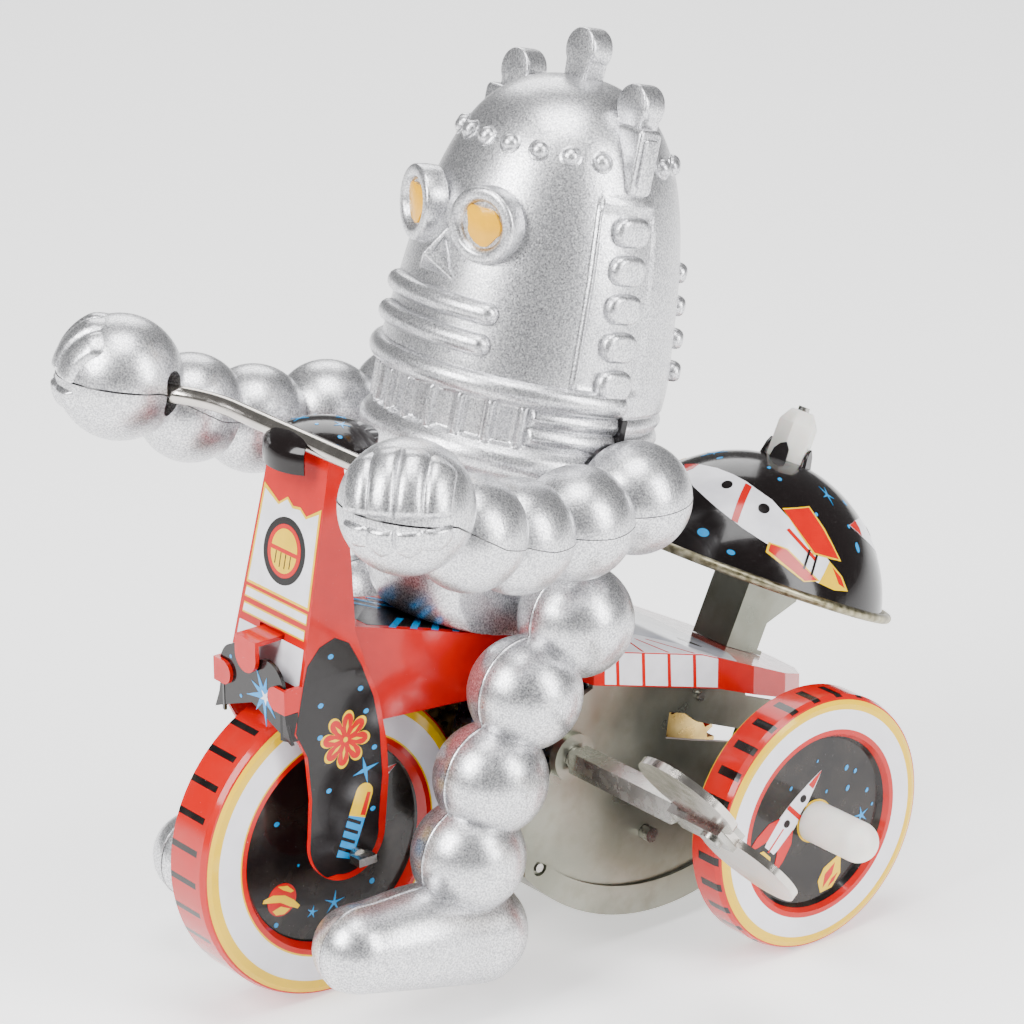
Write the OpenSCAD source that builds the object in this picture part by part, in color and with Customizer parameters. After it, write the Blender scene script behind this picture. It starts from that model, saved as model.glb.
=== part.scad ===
// Clockwork robot riding a three-wheeled cycle with a bell.
// Origin: on the floor, in the symmetry plane, below the rear axle.
// +X is the rider's left, -Y is the way the cycle runs, +Z is up.

/* [Wheels] */
// Rear wheel radius
rear_wheel_r = 17.5; // [17:0.1:18]
// Rear wheel width
rear_wheel_w = 6; // [5:0.1:7]
// Distance between the middles of the rear wheels
rear_track = 60.8; // [60:0.1:62]
// Front wheel radius
front_wheel_r = 20.7; // [20:0.1:21]
// Front wheel width
front_wheel_w = 8; // [7:0.1:8.4]
// Distance between the two axles
wheelbase = 56.5; // [56:0.1:57]
// Thickness of the pressed tin of the wheels and the bell
tin_t = 0.5; // [0.4:0.05:0.6]

/* [Rider] */
// Backward lean of the rider in degrees
lean = 14.8; // [14:0.1:15.5]
// Wall thickness of the moulded shells
shell_t = 1.5; // [1.2:0.1:2]
// Radius of the leg beads
leg_r = 7.5; // [7:0.1:7.6]
// Radius of the arm beads
arm_r = 7.2; // [6.8:0.1:7.4]
// Radius of the hands
hand_r = 8.2; // [8:0.1:8.6]

/* [Bell] */
// Backward lean of the bell in degrees
bell_lean = 26; // [25:0.5:27]
// Outer radius of the sphere that the dome is part of
dome_r = 20; // [19.5:0.1:20.2]
// How far the centre of that sphere lies below the rim
dome_drop = 3.8; // [3.4:0.1:4.2]
// Height from the rim to the tip of the spindle
spindle_top = 23.6; // [23:0.1:25]

/* [Key] */
// Distance from the symmetry plane to the middle of the wings
key_reach = 45; // [44:0.5:47]
// Radius of each wing
wing_r = 7.1; // [6.5:0.1:7.5]
// Distance from the key's axis to the middle of a wing
wing_offset = 8; // [7.5:0.1:8.5]
// Angle of the wings above the +Y direction in degrees
wing_angle = -50; // [-90:1:90]

/* [Gears] */
// Tooth module of the whole train
gear_module = 0.6; // [0.6:0.1:0.6]
// Teeth of the great wheel
great_teeth = 43; // [43:1:43]
// Teeth of the countershaft pinion
pinion_teeth = 22; // [22:1:22]
// Teeth of the countershaft wheel
counter_teeth = 30; // [30:1:30]
// Teeth of the wheel on the rear axle
axle_teeth = 22; // [22:1:22]
// Radial running clearance of the shafts in the plates
run_gap = 0.05; // [0.03:0.01:0.08]

/* [Hidden] */
$fn = 64;
fit = 0.02;
big = 200;
left = 1;
right = -1;

// Shafts: [y, z] of each axis, all parallel to X
rear_axle_at = [0, rear_wheel_r];
front_axle_at = [-wheelbase, front_wheel_r];
arbor_at = [-28.2, 29.3];
axle_shaft_r = 1.25;
front_shaft_r = 0.95;
counter_shaft_r = 1.0;
arbor_shaft_r = 1.5;
// The countershaft stands where both pairs of wheels mesh
mesh_a = gear_module * (great_teeth + pinion_teeth) / 2;
mesh_b = gear_module * (counter_teeth + axle_teeth) / 2;
train = rear_axle_at - arbor_at;
train_len = norm(train);
train_u = train / train_len;
along = (mesh_a * mesh_a - mesh_b * mesh_b + train_len * train_len) / (2 * train_len);
across = sqrt(mesh_a * mesh_a - along * along);
counter_at = arbor_at + along * train_u + across * [train_u[1], -train_u[0]];
// Each wheel is turned so that a tooth meets a gap on the line of centres
function bearing(a, b) = atan2(b[1] - a[1], b[0] - a[0]);
great_phase = bearing(arbor_at, counter_at);
pinion_phase = bearing(counter_at, arbor_at) + 180 / pinion_teeth;
counter_phase = bearing(counter_at, rear_axle_at);
axle_phase = bearing(rear_axle_at, counter_at) + 180 / axle_teeth;

// Motor case: two plates joined by pillars
plate_x = 15.98;
plate_t = 0.8;
case_bottom_at = [-12, 34];
case_bottom_r = 30.4;
pillars_at = [[-33.5, 15], [8, 14], [-6, 31.5]];
pillar_r = 1.2;

// Body shell: outlines seen from the side and from above
skirt_x = 16.6;
sheet_t = 0.6;
seat_slope = -tan(lean);
deck_slope = -tan(bell_lean);
seat_z = 44.6;
seat_y = -31.2;
deck_y = 12;
deck_z = 29.2;
tail_y = 21.5;
nose_y = -55.2;
function seat_at(y) = seat_z + seat_slope * (y - seat_y);
function deck_at(y) = deck_z + deck_slope * (y - deck_y);

// Rider: the robot stands on this point with its axis leaning back
torso_at = [0, -24.2, 71.3];
seam_y = 1.5;
hip = [17.6, 1.6, -22.9];
shoulder = [23.8, 1.5, -5.1];
belly_x = 9.6;
peg_r = 2.2;
screw_y = -3;
screw_r = 1.15;
leg_beads = [[-4.4, -32.6], [-7.2, -43.9], [-8.3, -54.2]];
heel_at = [-4.6, -64.4];
heel_r = 6.8;
toe_at = [-23.5, -66];
toe_r = 5.6;
// A point [y, z] of the rider's frame, in the frame of the whole
function rider_yz(p) = [torso_at[1] + p[0] * cos(lean) + p[1] * sin(lean),
  torso_at[2] - p[0] * sin(lean) + p[1] * cos(lean)];
shoulder_yz = rider_yz([shoulder[1], shoulder[2]]);
hip_yz = rider_yz([hip[1], hip[2]]);
arm_beads = [[shoulder[0], shoulder_yz[0], shoulder_yz[1]], [25.9, -35.2, shoulder_yz[1]],
  [27.4, -45.9, 67.3], [29.1, -54.6, 70.3]];
hand_at = [30.1, -64.6, 76.4];
bead_shrink = 0.1;

// Steering column: a channel that narrows upwards, on two fork blades
blade_x = 7.6;
column_top_x = 6.0;
column_top_z = 74;
column_foot_z = 46;
column_flare = atan((blade_x - column_top_x) / (column_top_z - column_foot_z));
column_rake = atan(6 / (column_top_z - column_foot_z));

// Handlebar: straight, then bent forward into the hands
bar_r = 1.2;
bar_at = [-58.7, 75.3];
bar_straight = 13;
bar_bend_r = 20;
bar_bend = 30;
bar_tail = 8;
bar_overlap = 0.3;
bar_end_x = bar_straight + bar_bend_r * sin(bar_bend);
bar_end_y = bar_at[0] - bar_bend_r * (1 - cos(bar_bend));

// Bell: everything here is measured from the middle of the rim
bell_at = [0, 16.2, 38.9];
spindle_r = 0.8;
rim_wire_r = 0.65;
rim_r = 20.35;
deck_below = -10.5;
strut_x = 3.5;
striker_at = [5.5, 1.5];
striker_tip = [15.1, 4.1];
striker_ball_r = 1.6;

tin_red = "#c8201a";
litho_black = "#1c181a";
robot_silver = "#b9bcc2";
zinc = "#8d8f88";
steel = "#a9aaa8";
plastic_white = "#ece8df";

// ---- general shapes ----

// A rod along X from x0 to x1 about the axis at [y, z]
module rod_x(at, r, x0, x1) {
  translate([x0, at[0], at[1]])
    rotate([0, 90, 0])
      cylinder(r = r, h = x1 - x0);
}

// An outline given as [y, z] points, made solid from x0 to x1
module slab_x(x0, x1) {
  translate([x0, 0, 0])
    rotate([90, 0, 90])
      linear_extrude(x1 - x0)
        children();
}

// A toothed disc with straight-sided teeth about the Z axis
module gear(teeth, bore, width, phase) {
  pitch_r = gear_module * teeth / 2;
  tip_r = pitch_r + 0.5;
  root_r = pitch_r - 0.72;
  step = 360 / teeth;
  tip_half = 0.13;
  root_half = 0.27;
  outline = [for (i = [0:teeth - 1], c = [[root_r, -root_half], [tip_r, -tip_half],
      [tip_r, tip_half], [root_r, root_half]])
    let (a = (i + c[1]) * step + phase) [c[0] * cos(a), c[0] * sin(a)]];
  linear_extrude(width)
    difference() {
      polygon(outline);
      circle(r = bore);
    }
}

// Puts a shape made about the Z axis onto a shaft, starting at x
module on_shaft(at, x) {
  translate([x, at[0], at[1]])
    rotate([90, 0, 90])
      children();
}

// The rider's own frame
module rider() {
  translate(torso_at)
    rotate([-lean, 0, 0])
      children();
}

// The bell's own frame
module bell_frame() {
  translate(bell_at)
    rotate([-bell_lean, 0, 0])
      children();
}

// ---- wheels ----

// Outer pressing: dished disc, flat ring and tread
module wheel_outer(r, w, disc_r, dish, hub_r) {
  top = w / 2;
  t = tin_t;
  rotate_extrude($fn = 96)
    polygon([[hub_r, top - dish], [disc_r, top - dish], [disc_r + 0.9, top], [r - 1.1, top],
      [r - 0.3, top - 0.3], [r, top - 1.1], [r, 0.6 - top], [r - t, 0.6 - top],
      [r - t, top - 1.2], [r - 1.3, top - t], [disc_r + 1.3, top - t],
      [disc_r + 0.4, top - dish - t], [hub_r, top - dish - t]]);
}

// Inner pressing: the same dish, held inside the tread
module wheel_inner(r, w, disc_r, dish, hub_r) {
  low = -w / 2;
  t = tin_t;
  rim = r - t - fit;
  rotate_extrude($fn = 96)
    polygon([[hub_r, low + dish], [disc_r, low + dish], [disc_r + 0.9, low], [rim, low],
      [rim, low + 2], [rim - t, low + 2], [rim - t, low + t], [disc_r + 1.3, low + t],
      [disc_r + 0.4, low + dish + t], [hub_r, low + dish + t]]);
}

module rear_outer(side) {
  color(tin_red)
    translate([side * rear_track / 2, 0, rear_wheel_r])
      rotate([0, side * 90, 0])
        wheel_outer(rear_wheel_r, rear_wheel_w, 11.4, 1.3, axle_shaft_r + fit);
}

module rear_inner(side) {
  color(tin_red)
    translate([side * rear_track / 2, 0, rear_wheel_r])
      rotate([0, side * 90, 0])
        wheel_inner(rear_wheel_r, rear_wheel_w, 11.4, 1.3, axle_shaft_r + fit);
}

module rear_wheel_left() { rear_outer(left); }
module rear_wheel_left_inner() { rear_inner(left); }
module rear_wheel_right() { rear_outer(right); }
module rear_wheel_right_inner() { rear_inner(right); }

// Plastic cap pushed over the axle end, with a rounded tip
module hub_cap(side) {
  foot = rear_track / 2 + 1.85;
  color(plastic_white)
    translate([side * foot, 0, rear_wheel_r])
      rotate([0, side * 90, 0])
        difference() {
          union() {
            cylinder(r = 2.75, h = 8.2);
            translate([0, 0, 8.2])
              sphere(r = 2.75);
          }
          translate([0, 0, -1])
            cylinder(r = axle_shaft_r + fit, h = 9);
        }
}

module hub_cap_left() { hub_cap(left); }
module hub_cap_right() { hub_cap(right); }

module rear_axle() {
  color(steel)
    rod_x(rear_axle_at, axle_shaft_r, -39.5, 39.5);
}

// The two pressings of the front wheel meet around the hub tube
module front_wheel_left() {
  color(tin_red)
    translate([0, front_axle_at[0], front_axle_at[1]])
      rotate([0, 90, 0])
        wheel_outer(front_wheel_r, front_wheel_w, 13.4, 1.4, 1.7 + fit);
}

module front_wheel_right() {
  color(tin_red)
    translate([0, front_axle_at[0], front_axle_at[1]])
      rotate([0, 90, 0])
        wheel_inner(front_wheel_r, front_wheel_w, 13.4, 1.4, 1.7 + fit);
}

module front_hub_tube() {
  color(steel)
    difference() {
      rod_x(front_axle_at, 1.7, -4.4, 4.4);
      rod_x(front_axle_at, front_shaft_r + run_gap, -5, 5);
    }
}

// Wire axle with a flattened fishtail at each end
module front_axle() {
  tail_x = 10.4;
  color(steel) {
    rod_x(front_axle_at, front_shaft_r, -8.6, 8.6);
    for (side = [left, right])
      translate([side * (tail_x + 8.4) / 2, front_axle_at[0], front_axle_at[1]])
        cube([tail_x - 8.4, 2.8, 1.1], center = true);
  }
}

// ---- fork, column and handlebar ----

// One side of the column, from the top down to the blade
module column_side_outline() {
  polygon([[-58.1, column_top_z], [-56.0, column_top_z], [-55.6, 58], [-55.6, 51],
    [-54.2, column_foot_z], [-64.1, column_foot_z]]);
}

// Flat tab with a round end at the point at, running on from it at an angle
module round_tab(r, reach, at, angle) {
  translate(at)
    rotate(angle) {
      circle(r = r);
      translate([0, -r])
        square([reach, 2 * r]);
    }
}

module blade_outline() {
  difference() {
    union() {
      polygon([[-64.1, column_foot_z], [-54.2, column_foot_z], [-52.3, 41.2], [-51.2, 35],
        [-51.0, 30], [-51.6, 23.5], [-63.5, 23.5], [-63.1, 30], [-63.6, 36], [-65.4, 39.6]]);
      translate([-57.6, 23.5])
        circle(r = 5.95);
    }
    translate(front_axle_at)
      circle(r = front_shaft_r + fit);
  }
}

module fork_column() {
  color(tin_red)
    difference() {
      union() {
        for (side = [0, 1])
          mirror([side, 0, 0]) {
            slab_x(blade_x - sheet_t, blade_x)
              blade_outline();
            translate([blade_x, 0, column_foot_z])
              rotate([0, -column_flare, 0])
                translate([-blade_x, 0, -column_foot_z])
                  slab_x(blade_x - sheet_t, blade_x)
                    column_side_outline();
            // tab folded over the edge of the front plate
            translate([blade_x - sheet_t, -66.9, 42.6])
              cube([sheet_t, 3.4, 3.2]);
            translate([0, -66.4, 44.2])
              rotate([90, 0, 0])
                linear_extrude(0.5)
                  round_tab(1.6, blade_x - 5.6, [5.6, 0], 0);
          }
        // front face, narrower at the top
        translate([0, -64.1, column_foot_z])
          rotate([90 - column_rake, 0, 0])
            translate([0, 0, -sheet_t])
              linear_extrude(sheet_t)
                polygon([[-blade_x, -1.5], [blade_x, -1.5], [column_top_x, 28.6],
                  [-column_top_x, 28.6]]);
      }
      // slot for the tongue of the body
      translate([-2.6, -70, 49.8])
        cube([5.2, 12, 1.2]);
      // seat for the handlebar
      rod_x(bar_at, bar_r + fit, -20, 20);
    }
}

// Black plate with a double arch along its top edge
module front_plate() {
  color(litho_black)
    translate([0, -65.9, 0])
      rotate([90, 0, 0])
        linear_extrude(tin_t) {
          for (side = [-1, 1])
            translate([side * 3.3, 45])
              circle(r = 3.5);
          polygon([[-6.6, 44], [6.6, 44], [7.2, 41], [8.2, 38.6], [5, 39.9],
            [0, 41.8], [-5, 39.9], [-8.2, 38.6], [-7.2, 41]]);
        }
}

// Domed cap over the open top of the column, notched for the bar
module column_cap() {
  cap_r = 14;
  cap_z = column_top_z + 2.6 - cap_r;
  color(litho_black)
    difference() {
      intersection() {
        difference() {
          translate([0, -55.0, cap_z])
            sphere(r = cap_r);
          translate([0, -55.0, cap_z])
            sphere(r = cap_r - sheet_t);
        }
        translate([0, -55.0, column_top_z + 0.1])
          cylinder(r = 7.2, h = 10);
      }
      rod_x(bar_at, bar_r + fit, -20, 20);
      translate([-20, bar_at[0] - 9, column_top_z])
        cube([40, 9, 10]);
    }
}

// The bend is a little thinner, as a bent rod is, and runs into both straights
module bar_half() {
  translate([bar_straight, bar_at[0] - bar_bend_r, bar_at[1]])
    rotate([0, 0, 90 - bar_bend])
      rotate_extrude(angle = bar_bend)
        translate([bar_bend_r, 0])
          circle(r = bar_r - 0.02);
  translate([bar_end_x, bar_end_y, bar_at[1]])
    rotate([0, 0, -bar_bend])
      rotate([0, 90, 0])
        translate([0, 0, -bar_overlap])
          cylinder(r = bar_r, h = bar_tail + bar_overlap);
}

module handlebar() {
  color(steel) {
    rod_x(bar_at, bar_r, -bar_straight - bar_overlap, bar_straight + bar_overlap);
    bar_half();
    mirror([1, 0, 0])
      bar_half();
  }
}

// ---- body and motor case ----

// Side outline of the body, lowered by the sheet for its inside
module body_side(drop, bottom_drop) {
  polygon([[nose_y, seat_at(nose_y) - drop], [-19, seat_at(-19) - drop], [-6, 37.6 - drop],
    [4, deck_at(4) - drop], [tail_y, deck_at(tail_y) - drop], [tail_y, 22.6 - bottom_drop],
    [9.2, 26.9 - bottom_drop], [-3.3, 32 - bottom_drop], [-25.5, 38.5 - bottom_drop],
    [-33, 37.3 - bottom_drop], [nose_y, 37.3 - bottom_drop]]);
}

// Half widths of the body seen from above, with the inside inset
module body_plan(inset) {
  half = [[5.6, nose_y - 0.01], [9.3, -33], [9.4, -27.5], [skirt_x, -24.6], [skirt_x, 3],
    [15.2, 10], [11.5, 16], [6, 20.2], [0.01, tail_y]];
  for (side = [0, 1])
    mirror([side, 0, 0])
      polygon(concat([[-0.01, tail_y - inset], [-0.01, nose_y - 0.01]],
        [for (p = half) [max(p[0] - inset, 0.01), min(p[1], tail_y - inset)]]));
}

module body_shell() {
  color(tin_red)
    difference() {
      union() {
        difference() {
          intersection() {
            slab_x(-20, 20)
              body_side(0, 0);
            linear_extrude(100)
              body_plan(0);
          }
          intersection() {
            slab_x(-20, 20)
              body_side(sheet_t, 30);
            linear_extrude(100)
              body_plan(sheet_t);
          }
        }
        // tongue through the column, folded down in front of it
        translate([-2.2, -67.3, 50.1])
          cube([4.4, 13, 0.6]);
        translate([0, -66.7, 48.3])
          rotate([90, 0, 0])
            linear_extrude(0.6)
              round_tab(2.2, 2.4, [0, 0], 90);
      }
      // room for the hip beads
      for (side = [left, right])
        rod_x(hip_yz, leg_r + 0.6, side > 0 ? 9.7 : -20, side > 0 ? 20 : -9.7);
      // hole for the rider's screw
      rider()
        translate([0, screw_y, -32])
          cylinder(r = 1.5, h = 8);
    }
}

module case_outline() {
  intersection() {
    translate(case_bottom_at)
      circle(r = case_bottom_r, $fn = 128);
    polygon([[-36.6, 0], [-36.6, 22], [-31.4, 27.5], [-28.6, 36], [-24.3, 37.5], [-24.3, 40.2],
      [-22, 39.8], [-6, 36.2], [1.5, 33.0], [2.2, 29.2], [9.5, 26.2], [11, 20], [11, 0]]);
  }
}

module motor_plate(side) {
  color(zinc)
    difference() {
      union() {
        mirror([side > 0 ? 0 : 1, 0, 0])
          slab_x(plate_x - plate_t, plate_x)
            case_outline();
        if (side > 0)
          rod_x(arbor_at, 3.2, plate_x - 0.1, plate_x + 1.1);
      }
      rod_x(rear_axle_at, axle_shaft_r + run_gap, -big, big);
      rod_x(counter_at, counter_shaft_r + run_gap, -big, big);
      rod_x(arbor_at, arbor_shaft_r + run_gap, -big, big);
      for (p = pillars_at)
        rod_x(p, pillar_r / 2 + fit, -big, big);
      // window above the rear axle
      slab_x(-big / 2, big / 2)
        polygon([[-11.2, 30.6], [-11.8, 27.0], [-7.4, 25.5], [0.3, 23.0], [1.1, 24.8],
          [-6.2, 27.8], [-8.3, 29.6]]);
    }
}

module motor_plate_left() { motor_plate(left); }
module motor_plate_right() { motor_plate(right); }

// Spacers between the plates with thinner riveted ends
module motor_pillars() {
  inner = plate_x - plate_t - 0.01;
  color(steel)
    for (p = pillars_at) {
      rod_x(p, pillar_r, -inner, inner);
      rod_x(p, pillar_r / 2, -plate_x - 0.5, plate_x + 0.5);
    }
}

// Curved pan below the works, with a low wall up each plate
module motor_bottom_cover() {
  pan_x = plate_x + 0.03;
  color(zinc)
    difference() {
      union() {
        slab_x(-pan_x - 0.5, pan_x + 0.5)
          intersection() {
            difference() {
              translate(case_bottom_at)
                circle(r = case_bottom_r + 0.55, $fn = 128);
              translate(case_bottom_at)
                circle(r = case_bottom_r + 0.05, $fn = 128);
            }
            polygon([[-36, 0], [-36, 20], [10.6, 20], [10.6, 0]]);
          }
        for (side = [0, 1])
          mirror([side, 0, 0])
            slab_x(pan_x, pan_x + 0.5)
              intersection() {
                difference() {
                  translate(case_bottom_at)
                    circle(r = case_bottom_r + 0.5, $fn = 128);
                  translate(case_bottom_at + [0, 3.6])
                    circle(r = case_bottom_r, $fn = 128);
                }
                polygon([[-36, 0], [-36, 20], [10.6, 20], [10.6, 0]]);
              }
      }
      for (p = pillars_at)
        rod_x(p, 1.1, -big, big);
    }
}

// ---- clockwork ----

module great_wheel() {
  color("#b08d3a")
    on_shaft(arbor_at, -6.2)
      gear(great_teeth, arbor_shaft_r + run_gap, 1, great_phase);
}

module counter_pinion() {
  color("#b08d3a")
    on_shaft(counter_at, -6.6)
      gear(pinion_teeth, counter_shaft_r + fit, 1.8, pinion_phase);
}

module counter_wheel() {
  color("#b08d3a")
    on_shaft(counter_at, 3)
      gear(counter_teeth, counter_shaft_r + fit, 1, counter_phase);
}

module axle_gear() {
  color("#b08d3a")
    on_shaft(rear_axle_at, 2.7)
      gear(axle_teeth, axle_shaft_r + fit, 1.6, axle_phase);
}

module countershaft() {
  color(steel)
    rod_x(counter_at, counter_shaft_r, -plate_x - 0.6, plate_x + 1.6);
}

// Round arbor through the case with a square end for the key
module winding_arbor() {
  color(steel) {
    rod_x(arbor_at, arbor_shaft_r, -plate_x - 0.6, plate_x + 1.6);
    translate([plate_x + 1.6 + 2, arbor_at[0], arbor_at[1]])
      cube([4.1, 1.6, 1.6], center = true);
  }
}

module ratchet_wheel() {
  teeth = 12;
  outer = 4.4;
  inner = 3.5;
  step = 360 / teeth;
  color(steel)
    on_shaft(arbor_at, -7.4)
      linear_extrude(1)
        difference() {
          polygon([for (i = [0:teeth - 1], c = [[outer, 0], [inner, 0.85]])
            [c[0] * cos((i + c[1]) * step), c[0] * sin((i + c[1]) * step)]]);
          circle(r = arbor_shaft_r + fit);
        }
}

// Spring pawl on the face of the great wheel, resting on the tooth tips
module click() {
  reach = 4.6;
  color(steel)
    on_shaft(arbor_at, -7.4) {
      translate([reach, -0.6, 0])
        cube([1.2, 5.4, 1]);
      translate([reach + 0.6, 4.8, 0])
        cylinder(r = 1.1, h = 1.2 - fit);
    }
}

// Coiled ribbon: rings joined by a bar at the hook
module mainspring() {
  coils = 7;
  pitch = 1.3;
  first_r = 2.6;
  color("#3a3f49")
    on_shaft(arbor_at, 4.8)
      linear_extrude(3.2) {
        for (i = [0:coils - 1])
          difference() {
            circle(r = first_r + i * pitch + 0.35);
            circle(r = first_r + i * pitch);
          }
        translate([arbor_shaft_r + fit, -0.3])
          square([coils * pitch + 0.5, 0.6]);
      }
}

// Long square stem that slips over the arbor's square
module key_stem() {
  color(steel)
    difference() {
      translate([plate_x + 1.7, arbor_at[0] - 1.5, arbor_at[1] - 1.5])
        cube([key_reach - plate_x - 9, 3, 3]);
      translate([plate_x + 1, arbor_at[0] - 0.82, arbor_at[1] - 0.82])
        cube([5, 1.64, 1.64]);
    }
}

module key_frame() {
  translate([key_reach, arbor_at[0], arbor_at[1]])
    rotate([wing_angle, 0, 0])
      children();
}

// Folded strap that grips the wings and turns round the stem
module key_yoke() {
  start = -7.2;
  color(steel)
    key_frame()
      difference() {
        union() {
          for (side = [-1, 1])
            translate([start, -2, side * 0.93 - 0.4])
              cube([9.6, 4, 0.8]);
          translate([start, -2, -1.33])
            cube([1.2, 4, 2.66]);
        }
        cylinder(r = 0.9 + fit, h = 10, center = true);
      }
}

module key_wings() {
  color(steel)
    key_frame()
      translate([0, 0, -0.5])
        difference() {
          union() {
            for (side = [-1, 1])
              translate([0, side * wing_offset, 0])
                cylinder(r = wing_r, h = 1);
            translate([-1.8, -wing_offset, 0])
              cube([4.4, 2 * wing_offset, 1]);
          }
          translate([0, 0, -1])
            cylinder(r = 0.9 + fit, h = 3);
        }
}

module key_rivet() {
  color(steel)
    key_frame() {
      cylinder(r = 0.9, h = 2.8, center = true);
      for (side = [-1, 1])
        translate([0, 0, side * 1.64])
          cylinder(r = 1.5, h = 0.6, center = true);
    }
}

// ---- bell ----

module bell_dome() {
  hex_r = 2.9;
  color(litho_black)
    bell_frame()
      difference() {
        intersection() {
          difference() {
            translate([0, 0, -dome_drop])
              sphere(r = dome_r, $fn = 96);
            translate([0, 0, -dome_drop])
              sphere(r = dome_r - tin_t, $fn = 96);
          }
          translate([0, 0, 0.5])
            cylinder(r = 30, h = 30);
        }
        translate([0, 0, 10])
          cylinder(r = hex_r + fit, h = 10);
      }
}

module bell_rim() {
  color("#9c8d5c")
    bell_frame()
      rotate_extrude($fn = 96)
        translate([rim_r, 0.3])
          circle(r = rim_wire_r);
}

// Plastic bush: a hexagon with a round neck through the dome
module bell_bush() {
  color(plastic_white)
    bell_frame()
      difference() {
        union() {
          translate([0, 0, 15.0])
            cylinder(r = 2.85, h = 1.4);
          translate([0, 0, 16.38])
            cylinder(r = 2.9, h = 5, $fn = 6);
          translate([0, 0, 21.36])
            cylinder(r = 2.2, h = 1.7, $fn = 6);
        }
        translate([0, 0, 10])
          cylinder(r = spindle_r + fit, h = 20);
      }
}

module bell_spindle() {
  color(steel)
    bell_frame()
      translate([0, 0, -9.6])
        cylinder(r = spindle_r, h = spindle_top + 9.6);
}

// Channel bent from sheet, open to the rear, wider towards the bell
module bell_strut() {
  color(steel)
    bell_frame()
      difference() {
        union() {
          translate([-strut_x, -2, deck_below])
            cube([2 * strut_x, 0.8, 13.5]);
          for (side = [0, 1])
            mirror([side, 0, 0])
              slab_x(strut_x - 0.8, strut_x)
                polygon([[-2, deck_below], [4, deck_below], [4, -6], [8, -2], [8, 3], [-2, 3]]);
          translate([-strut_x, -2, deck_below])
            cube([2 * strut_x, 7, 0.6]);
          translate([-strut_x, -2, 2.2])
            cube([2 * strut_x, 5, 0.8]);
        }
        translate([0, 0, 1])
          cylinder(r = 1.6 + fit, h = 5);
        rod_x(striker_at, 0.5 + fit, -big, big);
      }
}

// Turned bush that carries the spindle
module spindle_bearing() {
  color("#b08d3a")
    bell_frame()
      difference() {
        union() {
          translate([0, 0, 1.2])
            cylinder(r = 1.6, h = 3);
          translate([0, 0, 3.02])
            cylinder(r = 2.3, h = 1.2);
        }
        cylinder(r = spindle_r + run_gap, h = 10);
      }
}

module striker_pin() {
  color(steel)
    bell_frame()
      rod_x(striker_at, 0.5, -strut_x - 0.5, strut_x + 0.5);
}

// Wire hammer that swings on the pin below the dome
module striker() {
  reach = striker_tip - striker_at;
  color(steel)
    bell_frame()
      difference() {
        union() {
          rod_x(striker_at, 1.1, -1.6, 1.6);
          translate([0, striker_at[0], striker_at[1]])
            rotate([-atan2(reach[0], reach[1]), 0, 0])
              cylinder(r = 0.5, h = norm(reach));
          translate([0, striker_tip[0], striker_tip[1]])
            sphere(r = striker_ball_r);
        }
        rod_x(striker_at, 0.5 + run_gap, -5, 5);
      }
}

// ---- rider ----

// Outline of the head and belly, moved inwards for the hollow
module torso_profile(inset) {
  polygon([[0, -27.5 + inset], [11 - inset, -27.5 + inset], [13.6 - inset, -26 + inset],
    [15.1 - inset, -22.5], [15.3 - inset, -14], [15.0 - inset, -7.4 + inset],
    [18.4 - inset, -5.6 + inset], [19.5 - inset, -3.9], [18.6 - inset, -1.6],
    [18.5 - inset, 3.2], [18.6 - inset, 7], [18.1 - inset, 13], [17.3 - inset, 20.5],
    [16.0 - inset, 27.5], [14.2 - inset, 33.3], [11.7 - inset, 38 - inset / 2],
    [8.4 - inset, 41.2 - inset], [4.4 - inset, 43 - inset], [0, 43.5 - inset]]);
}

// Raised ring about the axis, over the given arc of the front
module face_roll(r, s, wire_r, half_angle) {
  translate([0, 0, s])
    rotate([0, 0, -90 - half_angle])
      rotate_extrude(angle = 2 * half_angle)
        translate([r, 0])
          circle(r = wire_r, $fn = 24);
}

// Round-topped lug standing on the head, face forward
module lug(x, s, tall) {
  translate([x, 2, s])
    rotate([90, 0, 0]) {
      translate([0, tall - 2.7, 0])
        cylinder(r = 2.7, h = 3.4);
      translate([-2.7, 0, 0])
        cube([5.4, tall - 2.7, 3.4]);
    }
}

module brow_studs(first, last) {
  for (a = [first:14:last])
    rotate([0, 0, a])
      translate([0, -14.0, 33.4])
        sphere(r = 0.95);
}

// What stands out from the front of the head
module face() {
  brow_studs(-70, 70);
  // eye rings
  for (side = [-1, 1])
    rotate([0, 0, side * 21])
      translate([0, -15.6, 24.4])
        rotate([97, 0, 0])
          difference() {
            cylinder(r = 4.7, h = 3.4);
            translate([0, 0, 1.9])
              cylinder(r = 2.9, h = 5);
          }
  // lips and collar
  face_roll(17.6, 13.6, 1.4, 32);
  face_roll(18.0, 9.7, 1.4, 31);
  face_roll(18.6, 5.4, 1.6, 90);
  // nose
  hull() {
    translate([0, -17.0, 21.6])
      sphere(r = 0.5, $fn = 12);
    translate([-3.1, -17.3, 16.4])
      sphere(r = 0.7, $fn = 12);
    translate([3.1, -17.3, 16.4])
      sphere(r = 0.7, $fn = 12);
    translate([0, -19.6, 16.8])
      sphere(r = 0.7, $fn = 12);
  }
  // ear blocks and lugs
  for (side = [-1, 1]) {
    translate([side * 13.6 - 2.4, -2.4, 31.4])
      cube([4.8, 4.4, 8]);
    lug(side * 12.0, 37, 8.4);
    for (i = [0:4])
      translate([side * (17.7 - i * 0.5), -1.4, 8 + i * 4.7])
        cube([2.4, 4, 2.9], center = true);
  }
  lug(0, 41.8, 8);
}

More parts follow.
